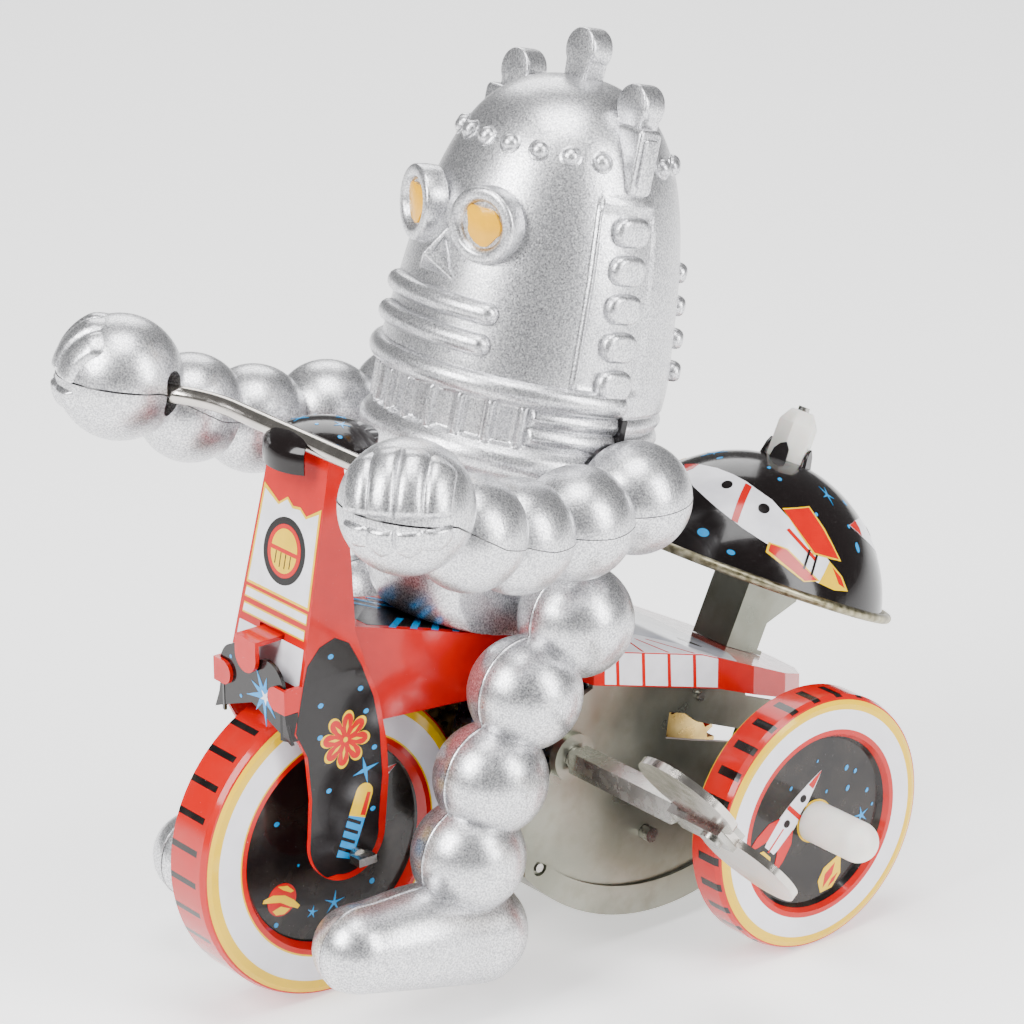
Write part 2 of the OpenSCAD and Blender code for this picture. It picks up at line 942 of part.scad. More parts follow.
// The hollow torso with holes for the pegs and flat sides at the hips
module torso_body(front) {
  difference() {
    union() {
      difference() {
        rotate_extrude($fn = 96)
          torso_profile(0);
        for (side = [0, 1])
          mirror([side, 0, 0])
            translate([belly_x, -20, -40])
              cube([20, 40, 26.5]);
      }
      if (front)
        face();
      else
        brow_studs(112, 248);
    }
    intersection() {
      rotate_extrude($fn = 96)
        torso_profile(shell_t);
      union() {
        translate([shell_t - belly_x, -20, -40])
          cube([2 * (belly_x - shell_t), 40, 40]);
        translate([-20, -20, -12])
          cube([40, 40, 60]);
      }
    }
    for (side = [left, right]) {
      translate([side * shoulder[0], shoulder[1], shoulder[2]])
        sphere(r = arm_r + 0.4);
      rod_x([shoulder[1], shoulder[2]], peg_r + run_gap, side > 0 ? 12 : -20, side > 0 ? 20 : -12);
      rod_x([hip[1], hip[2]], peg_r + run_gap, side > 0 ? 7 : -20, side > 0 ? 20 : -7);
    }
  }
}

module torso_front_shell() {
  color(robot_silver)
    rider()
      difference() {
        union() {
          intersection() {
            torso_body(true);
            translate([-30, -40 + seam_y, -40])
              cube([60, 40, 100]);
          }
          // boss for the screw
          translate([0, screw_y, -26.1])
            cylinder(r = 3, h = 7);
        }
        translate([0, screw_y, -28])
          cylinder(r = screw_r + fit, h = 8);
      }
}

module torso_rear_shell() {
  color(robot_silver)
    rider()
      intersection() {
        torso_body(false);
        translate([-30, seam_y, -40])
          cube([60, 40, 100]);
      }
}

// Screw from inside the body up into the rider
module torso_screw() {
  color(steel)
    rider()
      translate([0, screw_y, 0]) {
        translate([0, 0, -29.4])
          cylinder(r = 2.4, h = 1.18);
        translate([0, 0, -29])
          cylinder(r = screw_r, h = 8);
      }
}

// Bead chain of an arm with its shoulder peg, before it is split
module arm_solid() {
  peg_end = 10.6;
  difference() {
    union() {
      for (p = arm_beads)
        translate(p)
          sphere(r = arm_r, $fn = 64);
      translate(hand_at)
        sphere(r = hand_r);
      rod_x(shoulder_yz, peg_r, peg_end, 20);
      rod_x(shoulder_yz, 3, peg_end, peg_end + 1);
    }
    hand_slot();
  }
}

// Tall hole in the hand that the bar end floats in
module hand_slot() {
  rise = 1.35;
  wide = bar_r + 0.45;
  translate([bar_end_x, bar_end_y, bar_at[1]])
    rotate([0, 0, -bar_bend])
      rotate([0, 90, 0])
        translate([0, 0, -6]) {
          for (side = [-1, 1])
            translate([side * rise, 0, 0])
              cylinder(r = wide, h = bar_tail + 7);
          translate([-rise, -wide, 0])
            cube([2 * rise, 2 * wide, bar_tail + 7]);
        }
}

// Region above the seam that runs through the middles of the beads
module above_seam() {
  slab_x(0, 45)
    polygon([[-5, shoulder_yz[1]], [-35.2, shoulder_yz[1]], [-45.9, 67.3], [-54.6, 70.3],
      [-63.5, 76], [-80, 79], [-80, 100], [-5, 100]]);
}

module arm_upper() {
  intersection() {
    arm_solid();
    above_seam();
  }
}

module arm_lower() {
  difference() {
    arm_solid();
    above_seam();
  }
}

module arm_left_upper() { color(robot_silver) arm_upper(); }
module arm_left_lower() { color(robot_silver) arm_lower(); }
module arm_right_upper() { color(robot_silver) mirror([1, 0, 0]) arm_upper(); }
module arm_right_lower() { color(robot_silver) mirror([1, 0, 0]) arm_lower(); }

// A ball in the leg's middle plane, with its poles across that plane
module leg_ball(y, s, r) {
  translate([hip[0], y, s])
    rotate([0, 90, 0])
      sphere(r = r);
}

// Bead chain of a leg with its shoe and hip peg, before it is split
module leg_solid() {
  rider() {
    leg_ball(hip[1], hip[2], leg_r);
    for (p = leg_beads)
      leg_ball(p[0], p[1], leg_r - bead_shrink);
    leg_ball(toe_at[0], toe_at[1], toe_r);
    leg_ball(heel_at[0], heel_at[1], heel_r);
    translate([hip[0], heel_at[0], heel_at[1]])
      rotate([90 - atan2(toe_at[1] - heel_at[1], heel_at[0] - toe_at[0]), 0, 0])
        cylinder(r1 = heel_r - 0.15, r2 = toe_r - 0.15, h = norm(toe_at - heel_at));
    rod_x([hip[1], hip[2]], peg_r, 6, hip[0] - 5);
    rod_x([hip[1], hip[2]], 3, 6, 7.4);
  }
}

module leg_outer() {
  intersection() {
    leg_solid();
    translate([hip[0], -100, 0])
      cube([20, 120, 80]);
  }
}

module leg_inner() {
  difference() {
    leg_solid();
    translate([hip[0], -100, 0])
      cube([20, 120, 80]);
  }
}

module leg_left_outer() { color(robot_silver) leg_outer(); }
module leg_left_inner() { color(robot_silver) leg_inner(); }
module leg_right_outer() { color(robot_silver) mirror([1, 0, 0]) leg_outer(); }
module leg_right_inner() { color(robot_silver) mirror([1, 0, 0]) leg_inner(); }

fork_column();
front_plate();
column_cap();
handlebar();
front_axle();
body_shell();
motor_plate_left();
motor_plate_right();
motor_pillars();
motor_bottom_cover();
bell_strut();
spindle_bearing();
striker_pin();
torso_front_shell();
torso_rear_shell();
torso_screw();
rear_axle();
axle_gear();
rear_wheel_left();
rear_wheel_left_inner();
rear_wheel_right();
rear_wheel_right_inner();
hub_cap_left();
hub_cap_right();
countershaft();
counter_pinion();
counter_wheel();
great_wheel();
click();
winding_arbor();
ratchet_wheel();
mainspring();
key_stem();
key_yoke();
key_wings();
key_rivet();
front_wheel_left();
front_wheel_right();
front_hub_tube();
bell_dome();
bell_rim();
bell_bush();
bell_spindle();
striker();
arm_left_upper();
arm_left_lower();
arm_right_upper();
arm_right_lower();
leg_left_outer();
leg_left_inner();
leg_right_outer();
leg_right_inner();
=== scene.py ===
import random
from math import (acos, atan, atan2, ceil, copysign, cos, degrees, exp, floor, hypot, pi, radians, sin, sqrt)

import bmesh
import bpy
from mathutils import Matrix, Vector


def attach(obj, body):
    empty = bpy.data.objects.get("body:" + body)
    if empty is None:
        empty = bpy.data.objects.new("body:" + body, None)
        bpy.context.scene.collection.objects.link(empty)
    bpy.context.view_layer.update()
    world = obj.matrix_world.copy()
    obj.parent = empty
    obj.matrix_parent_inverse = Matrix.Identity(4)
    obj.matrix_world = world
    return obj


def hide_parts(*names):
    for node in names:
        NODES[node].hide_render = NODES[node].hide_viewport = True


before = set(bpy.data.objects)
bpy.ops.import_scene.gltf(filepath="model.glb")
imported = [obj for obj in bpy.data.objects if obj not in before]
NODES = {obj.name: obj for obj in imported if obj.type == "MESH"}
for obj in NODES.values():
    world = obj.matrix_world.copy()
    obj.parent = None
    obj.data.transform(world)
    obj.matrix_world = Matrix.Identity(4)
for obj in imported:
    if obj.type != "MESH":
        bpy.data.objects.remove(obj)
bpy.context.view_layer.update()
MM = 0.001
TAU = 2 * pi
IDENTITY = Matrix.Identity(4)


def shift(x, y, z):
    return Matrix.Translation((x, y, z))


def spin(axis, turn):
    """Turn about an axis, in degrees."""
    return Matrix.Rotation(radians(turn), 4, axis)


# ---- places shared with the CAD ----

LEAN = radians(14.8)
RIDER = shift(0, -24.2, 71.3) @ Matrix.Rotation(-LEAN, 4, "X")
SEAM_Y = 1.5
SHOULDER = Vector((23.8, 1.5, -5.1))
ARM_R = 7.2
BELLY_X = 9.6
BELL = shift(0, 16.2, 38.9) @ spin("X", -26)
DOME_R = 20.0
DOME_DROP = 3.8
REAR_HUB = (0.0, 17.5)
FRONT_HUB = (-56.5, 20.7)


# ---- node materials ----

# sockets of a colour Mix node
MIX_FACTOR, MIX_A, MIX_B, MIX_RESULT = 0, 6, 7, 2
SPECKS_PER_MM, SPECK_LEVEL = 3.1, 0.79


class Paint:
    """One node material in object space, with the coordinates in millimetres."""

    def __init__(self, name, **constants):
        self.material = bpy.data.materials.new(name)
        self.material.use_nodes = True
        self.tree = self.material.node_tree
        self.bsdf = self.tree.nodes["Principled BSDF"]
        for key, value in constants.items():
            self.bsdf.inputs[key.replace("_", " ")].default_value = value
        coords = self.tree.nodes.new("ShaderNodeTexCoord").outputs["Object"]
        self.mm = self.vector("SCALE", coords, scale=1000)
        split = self.tree.nodes.new("ShaderNodeSeparateXYZ")
        self.put(split.inputs[0], self.mm)
        self.x, self.y, self.z = split.outputs

    def put(self, socket, value):
        if isinstance(value, bpy.types.NodeSocket):
            self.tree.links.new(value, socket)
        else:
            socket.default_value = value

    def math(self, operation, *values):
        node = self.tree.nodes.new("ShaderNodeMath")
        node.operation = operation
        for socket, value in zip(node.inputs, values):
            self.put(socket, value)
        return node.outputs[0]

    def vector(self, operation, value, other=None, scale=None):
        node = self.tree.nodes.new("ShaderNodeVectorMath")
        node.operation = operation
        self.put(node.inputs[0], value)
        if other is not None:
            self.put(node.inputs[1], other)
        if scale is not None:
            node.inputs["Scale"].default_value = scale
        return node.outputs["Value" if operation == "LENGTH" else "Vector"]

    def noise(self, per_mm, detail=2.0, stretch=None):
        node = self.tree.nodes.new("ShaderNodeTexNoise")
        where = self.mm if stretch is None else self.vector("MULTIPLY", self.mm, stretch)
        self.put(node.inputs["Vector"], where)
        node.inputs["Scale"].default_value = per_mm
        node.inputs["Detail"].default_value = detail
        return node.outputs[0]

    def ramp(self, value, stops, steps=False):
        node = self.tree.nodes.new("ShaderNodeValToRGB")
        if steps:
            node.color_ramp.interpolation = "CONSTANT"
        elements = node.color_ramp.elements
        while len(elements) < len(stops):
            elements.new(0.5)
        for element, (position, colour) in zip(elements, stops):
            element.position = position
            element.color = (*colour, 1) if hasattr(colour, "__len__") else (colour,) * 3 + (1,)
        self.put(node.inputs[0], value)
        return node.outputs[0]

    def mix(self, factor, a, b):
        node = self.tree.nodes.new("ShaderNodeMix")
        node.data_type = "RGBA"
        self.put(node.inputs[MIX_FACTOR], factor)
        for index, value in ((MIX_A, a), (MIX_B, b)):
            self.put(node.inputs[index], value if isinstance(value, bpy.types.NodeSocket) else (*value, 1))
        return node.outputs[MIX_RESULT]

    def window(self, value, low, high):
        """1 where low < value < high."""
        return self.math("MULTIPLY", self.math("GREATER_THAN", value, low),
            self.math("LESS_THAN", value, high))

    def specks(self):
        """1 on pin-prick dust."""
        return self.window(self.noise(SPECKS_PER_MM, 1), SPECK_LEVEL, 1.0)

    def colour(self, value):
        self.put(self.bsdf.inputs["Base Color"], value)

    def rough(self, low, high, per_mm, detail=3.0):
        grey = self.noise(per_mm, detail)
        self.put(self.bsdf.inputs["Roughness"], self.ramp(grey, [(0.3, low), (0.7, high)]))

    def bump(self, height, strength, distance_mm):
        node = self.tree.nodes.new("ShaderNodeBump")
        node.inputs["Strength"].default_value = strength
        node.inputs["Distance"].default_value = distance_mm * MM
        self.put(node.inputs["Height"], height)
        self.put(self.bsdf.inputs["Normal"], node.outputs[0])


def tone(colour, factor):
    return tuple(min(1.0, c * factor) for c in colour)


def scuff(paint, colour, per_mm=0.35):
    """The colour with faint clouds, pin-prick dust and hairline scratches."""
    clouds = paint.ramp(paint.noise(per_mm, 3), [(0.35, tone(colour, 0.93)), (0.65, tone(colour, 1.05))])
    hair = paint.window(paint.noise(0.5, 1, stretch=(0.3, 2.2, 4.0)), 0.5, 0.5012)
    marks = paint.math("MAXIMUM", paint.specks(), hair)
    pale = tuple(0.6 * c + 0.2 for c in colour)
    return paint.mix(paint.math("MULTIPLY", marks, 0.22), clouds, pale)


def tin_paint(name):
    """Varnished tin whose colour is still to be set."""
    paint = Paint(name, Metallic=0.0, Coat_Weight=0.2, Coat_Roughness=0.04, IOR=1.33)
    paint.rough(0.12, 0.2, 0.8)
    paint.bump(paint.noise(0.35, 2), 0.1, 0.04)
    return paint


def enamel(name, colour):
    """Printed and varnished tin of one colour."""
    paint = tin_paint(name)
    paint.colour(scuff(paint, colour))
    return paint.material


RED = (0.5, 0.002, 0.001)
BLACK = (0.007, 0.005, 0.005)
WHITE = (0.8, 0.79, 0.84)
YELLOW = (0.8, 0.5, 0.001)
BLUE = (0.002, 0.26, 0.62)
LILAC = (0.46, 0.47, 0.53)
# radius at which the ramp of a wheel's rings ends, and how far in from the tread its bars reach
RAMP_R, TREAD_DEPTH = 30, 0.75


def wheel_tin(name, hub, bands, tread_r, bars, bar_x, bar_share):
    """Printed rings about the hub, and dark bars across the tread."""
    paint = tin_paint(name)
    dy = paint.math("SUBTRACT", paint.y, hub[0])
    dz = paint.math("SUBTRACT", paint.z, hub[1])
    radius = paint.math("SQRT", paint.math("ADD", paint.math("MULTIPLY", dy, dy),
            paint.math("MULTIPLY", dz, dz)))
    rings = paint.ramp(paint.math("DIVIDE", radius, RAMP_R), [(r / RAMP_R, c) for r, c in bands], steps=True)
    turn = paint.math("MULTIPLY", paint.math("ARCTAN2", dz, dy), bars / TAU)
    bar = paint.math("LESS_THAN", paint.math("FRACT", paint.math("ADD", turn, bars)), bar_share)
    on_tread = paint.math("GREATER_THAN", radius, tread_r - TREAD_DEPTH)
    across = paint.window(paint.x, *bar_x)
    dark = paint.math("MULTIPLY", bar, paint.math("MULTIPLY", on_tread, across))
    plain = paint.mix(dark, rings, BLACK)
    grime = paint.math("MULTIPLY", paint.ramp(paint.noise(0.25, 4), [(0.4, 0.0), (0.75, 1.0)]), 0.1)
    paint.colour(paint.mix(paint.math("MULTIPLY", paint.specks(), 0.2),
            paint.mix(grime, plain, (0.2, 0.16, 0.12)), (0.5, 0.5, 0.5)))
    return paint.material


def silver_paint(name):
    """Silver flake sprayed over moulded plastic."""
    paint = Paint(name, Metallic=0.92, IOR=1.5, Coat_Weight=0.1, Coat_Roughness=0.12)
    flakes = paint.ramp(paint.noise(4.4, 1), [(0.34, (0.22, 0.22, 0.24)), (0.52, (0.64, 0.64, 0.66)),
            (0.66, (1.0, 1.0, 1.0))])
    clouds = paint.ramp(paint.noise(0.12, 2), [(0.3, (0.62, 0.62, 0.64)), (0.7, (0.74, 0.74, 0.76))])
    paint.colour(paint.mix(0.62, clouds, flakes))
    paint.rough(0.26, 0.42, 4.0)
    paint.bump(paint.noise(3.6, 2), 0.3, 0.07)
    return paint.material


def bare_metal(name, dark, light, low, high, per_mm=0.25, stain=None, metallic=1.0, grain=0.15):
    """Sheet or wire: cloudy tone, fine scratches, stains where stain is given."""
    paint = Paint(name, Metallic=metallic, IOR=1.5)
    cloudy = paint.ramp(paint.noise(per_mm, 2), [(0.32, dark), (0.68, light)])
    if stain is not None:
        spots = paint.ramp(paint.noise(per_mm * 4, 6), [(0.46, 0.0), (0.74, 1.0)])
        cloudy = paint.mix(paint.math("MULTIPLY", spots, 0.45), cloudy, stain)
    hair = paint.window(paint.noise(1.1, 2, stretch=(0.4, 1.6, 3.1)), 0.5, 0.505)
    paint.colour(paint.mix(paint.math("MULTIPLY", hair, 0.3), cloudy, tone(light, 1.3)))
    paint.rough(low, high, per_mm * 2, 2)
    paint.bump(paint.noise(2.2, 2), grain, 0.03)
    return paint.material


def soft_plastic(name, colour, roughness):
    """Milky plastic that lets a little light in."""
    paint = Paint(name, Subsurface_Weight=0.25, Subsurface_Scale=0.002, IOR=1.46)
    paint.colour(paint.ramp(paint.noise(0.5, 3), [(0.35, tone(colour, 0.94)), (0.65, colour)]))
    paint.rough(roughness, roughness + 0.14, 1.2)
    paint.bump(paint.noise(1.1, 3), 0.12, 0.05)
    return paint.material


SILVER = silver_paint("silver_flake")
RED_TIN = enamel("enamel_red", RED)
BLACK_TIN = enamel("enamel_black", BLACK)
WHITE_INK = enamel("ink_white", WHITE)
YELLOW_INK = enamel("ink_yellow", YELLOW)
BLUE_INK = enamel("ink_blue", BLUE)
RED_INK = enamel("ink_red", tone(RED, 1.08))
BLACK_INK = enamel("ink_black", BLACK)
LILAC_INK = enamel("ink_lilac", LILAC)
AMBER = enamel("amber_paint", (0.86, 0.42, 0.0005))
GAP = enamel("seam_shadow", (0.012, 0.011, 0.012))
ZINC = bare_metal("dull_zinc", (0.17, 0.175, 0.14), (0.33, 0.335, 0.28),
    0.26, 0.42, 0.08, (0.15, 0.14, 0.1), 0.85, 0.1)
STEEL = bare_metal("bright_steel", (0.32, 0.31, 0.285), (0.42, 0.41, 0.38), 0.22, 0.32, 0.3, grain=0.07)
NICKEL = bare_metal("nickel", (0.52, 0.49, 0.45), (0.62, 0.58, 0.53), 0.12, 0.22, 0.3, grain=0.06)
BRASS = bare_metal("brass", (0.52, 0.34, 0.1), (0.78, 0.56, 0.22), 0.22, 0.4, 0.4)
RIM = bare_metal("dull_brass", (0.16, 0.14, 0.08), (0.5, 0.46, 0.32), 0.28, 0.5, 0.9, (0.1, 0.085, 0.05))
BLUED = bare_metal("blued_steel", (0.03, 0.04, 0.07), (0.09, 0.11, 0.17), 0.2, 0.36, 0.5)
CAP = soft_plastic("white_plastic", (0.84, 0.82, 0.76), 0.3)

REAR_BANDS = [(0.0, BLACK), (11.8, RED), (13.0, WHITE), (15.7, YELLOW), (16.9, RED)]
FRONT_BANDS = [(0.0, BLACK), (13.5, RED), (14.9, YELLOW), (15.2, WHITE), (18.5, YELLOW), (20.1, RED)]
REAR_R, REAR_BARS = 17.5, 28
FRONT_R, FRONT_BARS = 20.7, 30
REAR_LEFT = wheel_tin("wheel_print_left", REAR_HUB, REAR_BANDS, REAR_R, REAR_BARS, (29.2, 32.9), 0.3)
REAR_RIGHT = wheel_tin("wheel_print_right", REAR_HUB, REAR_BANDS, REAR_R, REAR_BARS, (-32.9, -29.2), 0.3)
FRONT = wheel_tin("wheel_print_front", FRONT_HUB, FRONT_BANDS, FRONT_R, FRONT_BARS, (-3.4, 2.0), 0.2)

FINISH = {
    REAR_LEFT: "rear_wheel_left rear_wheel_left_inner",
    REAR_RIGHT: "rear_wheel_right rear_wheel_right_inner",
    FRONT: "front_wheel_left front_wheel_right",
    RED_TIN: "fork_column body_shell",
    BLACK_TIN: "front_plate column_cap bell_dome",
    ZINC: "motor_plate_left motor_plate_right motor_bottom_cover bell_strut",
    STEEL: "front_axle rear_axle striker striker_pin torso_screw motor_pillars countershaft "
    "winding_arbor ratchet_wheel click front_hub_tube bell_spindle key_stem key_rivet "
    "key_yoke",
    NICKEL: "handlebar key_wings",
    BRASS: "great_wheel counter_pinion counter_wheel axle_gear spindle_bearing",
    RIM: "bell_rim",
    BLUED: "mainspring",
    CAP: "hub_cap_left hub_cap_right bell_bush",
    SILVER: "torso_front_shell torso_rear_shell arm_left_upper arm_left_lower arm_right_upper "
    "arm_right_lower leg_left_outer leg_left_inner leg_right_outer leg_right_inner",
}
for finish, names in FINISH.items():
    for name in names.split():
        for material_slot in NODES[name].material_slots:
            material_slot.material = finish


# ---- mesh helpers: each shape is (points, faces) ----

def piece(name, shape, material, body, place=IDENTITY, replaces=(), sharp=40):
    """Makes one Blender object of a shape and lets it ride on a body."""
    points, faces = shape
    mesh = bpy.data.meshes.new(name)
    mesh.from_pydata([MM * (place @ Vector(p)) for p in points], [], faces)
    mesh.validate()
    bm = bmesh.new()
    bm.from_mesh(mesh)
    bmesh.ops.remove_doubles(bm, verts=bm.verts, dist=1e-7)
    bmesh.ops.recalc_face_normals(bm, faces=bm.faces)
    bm.to_mesh(mesh)
    bm.free()
    mesh.materials.append(material)
    for polygon in mesh.polygons:
        polygon.use_smooth = True
    mesh.set_sharp_from_angle(angle=radians(sharp))
    obj = bpy.data.objects.new(name, mesh)
    bpy.context.scene.collection.objects.link(obj)
    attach(obj, body)
    if replaces:
        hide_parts(*replaces)
    return obj


def taken(bm):
    """The shape held by a bmesh, which is freed."""
    bm.verts.index_update()
    shape = [v.co.copy() for v in bm.verts], [[v.index for v in f.verts] for f in bm.faces]
    bm.free()
    return shape


def xy(text):
    """Points written as text: a comma inside each, a blank between them."""
    return [tuple(float(value) for value in point.split(",")) for point in text.split()]


def join(*shapes):
    points, faces = [], []
    for p, f in shapes:
        base = len(points)
        points += list(p)
        faces += [[base + i for i in face] for face in f]
    return points, faces


def moved(shape, matrix):
    return [matrix @ Vector(p) for p in shape[0]], shape[1]


def mirrored(shape):
    return [(-p[0], p[1], p[2]) for p in shape[0]], [list(reversed(f)) for f in shape[1]]


def skin(rings, closed_ends=True, closed_path=False):
    """Quads between rings of equal length, with flat ends."""
    n = len(rings[0])
    points = [p for ring in rings for p in ring]
    faces = []
    rows = len(rings)
    for i in range(rows if closed_path else rows - 1):
        for j in range(n):
            a, b = i * n + j, i * n + (j + 1) % n
            c, d = ((i + 1) % rows) * n + (j + 1) % n, ((i + 1) % rows) * n + j
            faces.append([a, b, c, d])
    if closed_ends and not closed_path:
        faces.append(list(range(n)))
        faces.append([(rows - 1) * n + j for j in range(n)])
    return points, faces


def circle(steps):
    """Cosine and sine at even steps round a circle."""
    return [(cos(TAU * i / steps), sin(TAU * i / steps)) for i in range(steps)]


def sweep(start, end, steps):
    """Angles in radians from start to end, which are in degrees."""
    return [radians(start + (end - start) * i / steps) for i in range(steps + 1)]


def lathe(profile, steps=48):
    """Turned solid about Z: profile runs from the axis out and back to the axis."""
    return skin([[(r * c, r * s, z) for c, s in circle(steps)] for r, z in profile])


def arc(cx, cy, r, start, end, steps):
    """Points on an arc, with the angles in degrees."""
    return [(cx + r * cos(a), cy + r * sin(a)) for a in sweep(start, end, steps)]


def tube(path, radius, sides=12, closed=False, round_ends=False):
    """A round bar along a path; radius is a number or one per point."""
    path = [Vector(p) for p in path]
    radii = list(radius) if hasattr(radius, "__len__") else [radius] * len(path)
    if round_ends:
        steps, widest = 5, 88
        first, last = path[0], path[-1]
        back = (path[0] - path[1]).normalized()
        on = (path[-1] - path[-2]).normalized()
        head, tail, head_r, tail_r = [], [], [], []
        for i in range(steps, 0, -1):
            a = radians(widest * i / steps)
            head.append(first + back * radii[0] * sin(a))
            head_r.append(radii[0] * cos(a))
            tail.insert(0, last + on * radii[-1] * sin(a))
            tail_r.insert(0, radii[-1] * cos(a))
        path = head + path + tail
        radii = head_r + radii + tail_r
    rings = []
    side = None
    for i, p in enumerate(path):
        if closed:
            along = (path[(i + 1) % len(path)] - path[i - 1]).normalized()
        else:
            along = (path[min(i + 1, len(path) - 1)] - path[max(i - 1, 0)]).normalized()
        if side is None:
            side = along.orthogonal().normalized()
        side = (side - along * side.dot(along)).normalized()
        other = along.cross(side)
        rings.append([p + radii[i] * (c * side + s * other) for c, s in circle(sides)])
    return skin(rings, closed_path=closed)


def rounded(outline, depth, bevel, steps=3):
    """A convex outline in X and Y made into a slab along Z with rounded edges."""
    cx = sum(p[0] for p in outline) / len(outline)
    cy = sum(p[1] for p in outline) / len(outline)
    reach = max(hypot(p[0] - cx, p[1] - cy) for p in outline)
    rings = []
    for half in (0, 1):
        for i in range(steps + 1):
            a = pi / 2 * (i if half == 0 else steps - i) / steps
            shrink = 1 - bevel * (1 - sin(a)) / reach
            z = bevel * (1 - cos(a)) if half == 0 else depth - bevel * (1 - cos(a))
            rings.append([(cx + (p[0] - cx) * shrink, cy + (p[1] - cy) * shrink, z) for p in outline])
    return skin(rings)


def stadium(width, height, corner, steps=5):
    """A rectangle about the middle with rounded corners."""
    w, h, r = width / 2, height / 2, min(corner, width / 2 - 1e-3, height / 2 - 1e-3)
    return (arc(w - r, h - r, r, 0, 90, steps) + arc(r - w, h - r, r, 90, 180, steps)
        + arc(r - w, r - h, r, 180, 270, steps) + arc(w - r, r - h, r, 270, 360, steps))


def curve_through(points, per_span):
    """Catmull-Rom curve through (r, z) points."""
    out = []
    for i in range(len(points) - 1):
        p0 = points[i - 1] if i else points[0]
        p1, p2 = points[i], points[i + 1]
        p3 = points[i + 2] if i + 2 < len(points) else p2
        for k in range(per_span):
            t = k / per_span
            out.append(tuple(0.5 * (2 * b + (c - a) * t + (2 * a - 5 * b + 4 * c - d) * t * t
                    + (3 * b - a - 3 * c + d) * t ** 3)
                    for a, b, c, d in zip(p0, p1, p2, p3)))
    return out + [points[-1]]


def smooth_step(value, low, high):
    t = max(0.0, min(1.0, (value - low) / (high - low)))
    return t * t * (3 - 2 * t)


# ---- head and belly ----

BELLY = curve_through(xy("0.02,-27.5 10.6,-27.5 13.4,-26.2 15,-22.5 15.3,-18"), 6)
SHELF = xy("15.3,-13.6 15.3,-13.4 15.25,-11 15.1,-8.6")
RIM_ROLL = curve_through(xy("15.2,-7.6 17.6,-6.3 19.1,-5.1 19.5,-3.9 19.2,-2.7 18.5,-1.9"), 4)
BAND = [(18.4, -1.7 + 0.22 * i) for i in range(25)]
CROWN = curve_through(xy("18.5,3.8 18.6,7 18.1,13 17.3,20.5 16,27.5 14.2,33.3 11.7,38 8.4,41.2 4.4,43 "
        "0.02,43.5"), 9)
HEAD_ROWS = BELLY + SHELF + RIM_ROLL + BAND + CROWN
# degrees round from the nose, and heights s on the rider's axis
FLUTE = 13.0
FLUTES_TO = 54.0
BAND_S = (-1.8, 3.7)
RIBS_S, RIB_HALF = (-0.1, 2.35), 1.15
PANEL_AT = 69.0
PANEL_S = (7.0, 29.9)
BELLY_TOP = -13.5
FLOOR_S, ROOF_S = -27, 42
WALL = 1.3


def pocket(radius, s, a):
    """Pushes the wall in around the shoulder bead."""
    along = Vector((sin(a), -cos(a)))
    centre = Vector((copysign(SHOULDER.x, along.x), SHOULDER.y))
    reach = centre.dot(along)
    rest = (ARM_R + 0.45) ** 2 - (s - SHOULDER.z) ** 2 - centre.length_squared + reach * reach
    return min(radius, reach - sqrt(rest)) if rest > 0 else radius


def head_radius(radius, s, a):
    """Distance of the moulded wall from the axis at height s, a radians round from the nose."""
    turn = abs(degrees(a))
    turn = min(turn, 360 - turn)
    if BAND_S[0] < s < BAND_S[1]:
        edge = smooth_step(s, BAND_S[0], -1.3) * (1 - smooth_step(s, 3.3, BAND_S[1]))
        if turn < FLUTES_TO:
            off = abs((turn + FLUTE / 2) % FLUTE - FLUTE / 2)
            bar = sqrt(max(0.0, 1 - (off / 2.0) ** 2))
            radius += edge * (0.85 * bar + 0.22 * (1 - smooth_step(off, 2.9, 3.3)) - 0.75)
        else:
            ribs = max(0, *(1 - abs(s - middle) / RIB_HALF for middle in RIBS_S))
            ends = smooth_step(turn, FLUTES_TO, FLUTES_TO + 3)
            radius += edge * (0.75 * sqrt(ribs) * ends - 0.55)
    if PANEL_S[0] - 1 < s < PANEL_S[1] + 1 and turn < 100:
        inside = (smooth_step(s, PANEL_S[0] - 0.6, PANEL_S[0] + 0.2)
            * (1 - smooth_step(s, PANEL_S[1] - 0.4, PANEL_S[1])))
        ridge = max(0.0, 1 - abs(turn - PANEL_AT) / 1.5)
        radius += inside * (0.42 * sqrt(ridge) - 0.28 * smooth_step(turn, PANEL_AT + 0.8, PANEL_AT + 1.8))
        if turn > PANEL_AT:
            radius += 0.4 * sqrt(max(0.0, 1 - abs(s - PANEL_S[1]) / 0.6))
    if s < BELLY_TOP:
        side = abs(sin(a))
        if radius * side > BELLY_X:
            radius = BELLY_X / side
    return pocket(radius, s, a)


def head_shell(front, columns):
    """Half of the moulded body: outside and inside walls joined along the seam."""
    outer, inner = [], []
    for radius, s in HEAD_ROWS:
        edge = acos(max(-1.0, min(1.0, -SEAM_Y / max(radius, SEAM_Y + 0.5))))
        if s < BELLY_TOP:
            edge = max(edge, pi / 2 + atan(SEAM_Y / BELLY_X))
        out_row, in_row = [], []
        for j in range(columns + 1):
            t = j / columns
            a = -edge + 2 * edge * t if front else edge + (TAU - 2 * edge) * t
            r = head_radius(radius, s, a)
            thin = max(r - WALL, 0.01)
            lift = WALL if s < FLOOR_S else (-WALL if s > ROOF_S else 0)
            out_row.append((r * sin(a), -r * cos(a), s))
            in_row.append((thin * sin(a), -thin * cos(a), s + lift))
        outer.append(out_row)
        inner.append(in_row)
    return skin([o + i[::-1] for o, i in zip(outer, inner)])


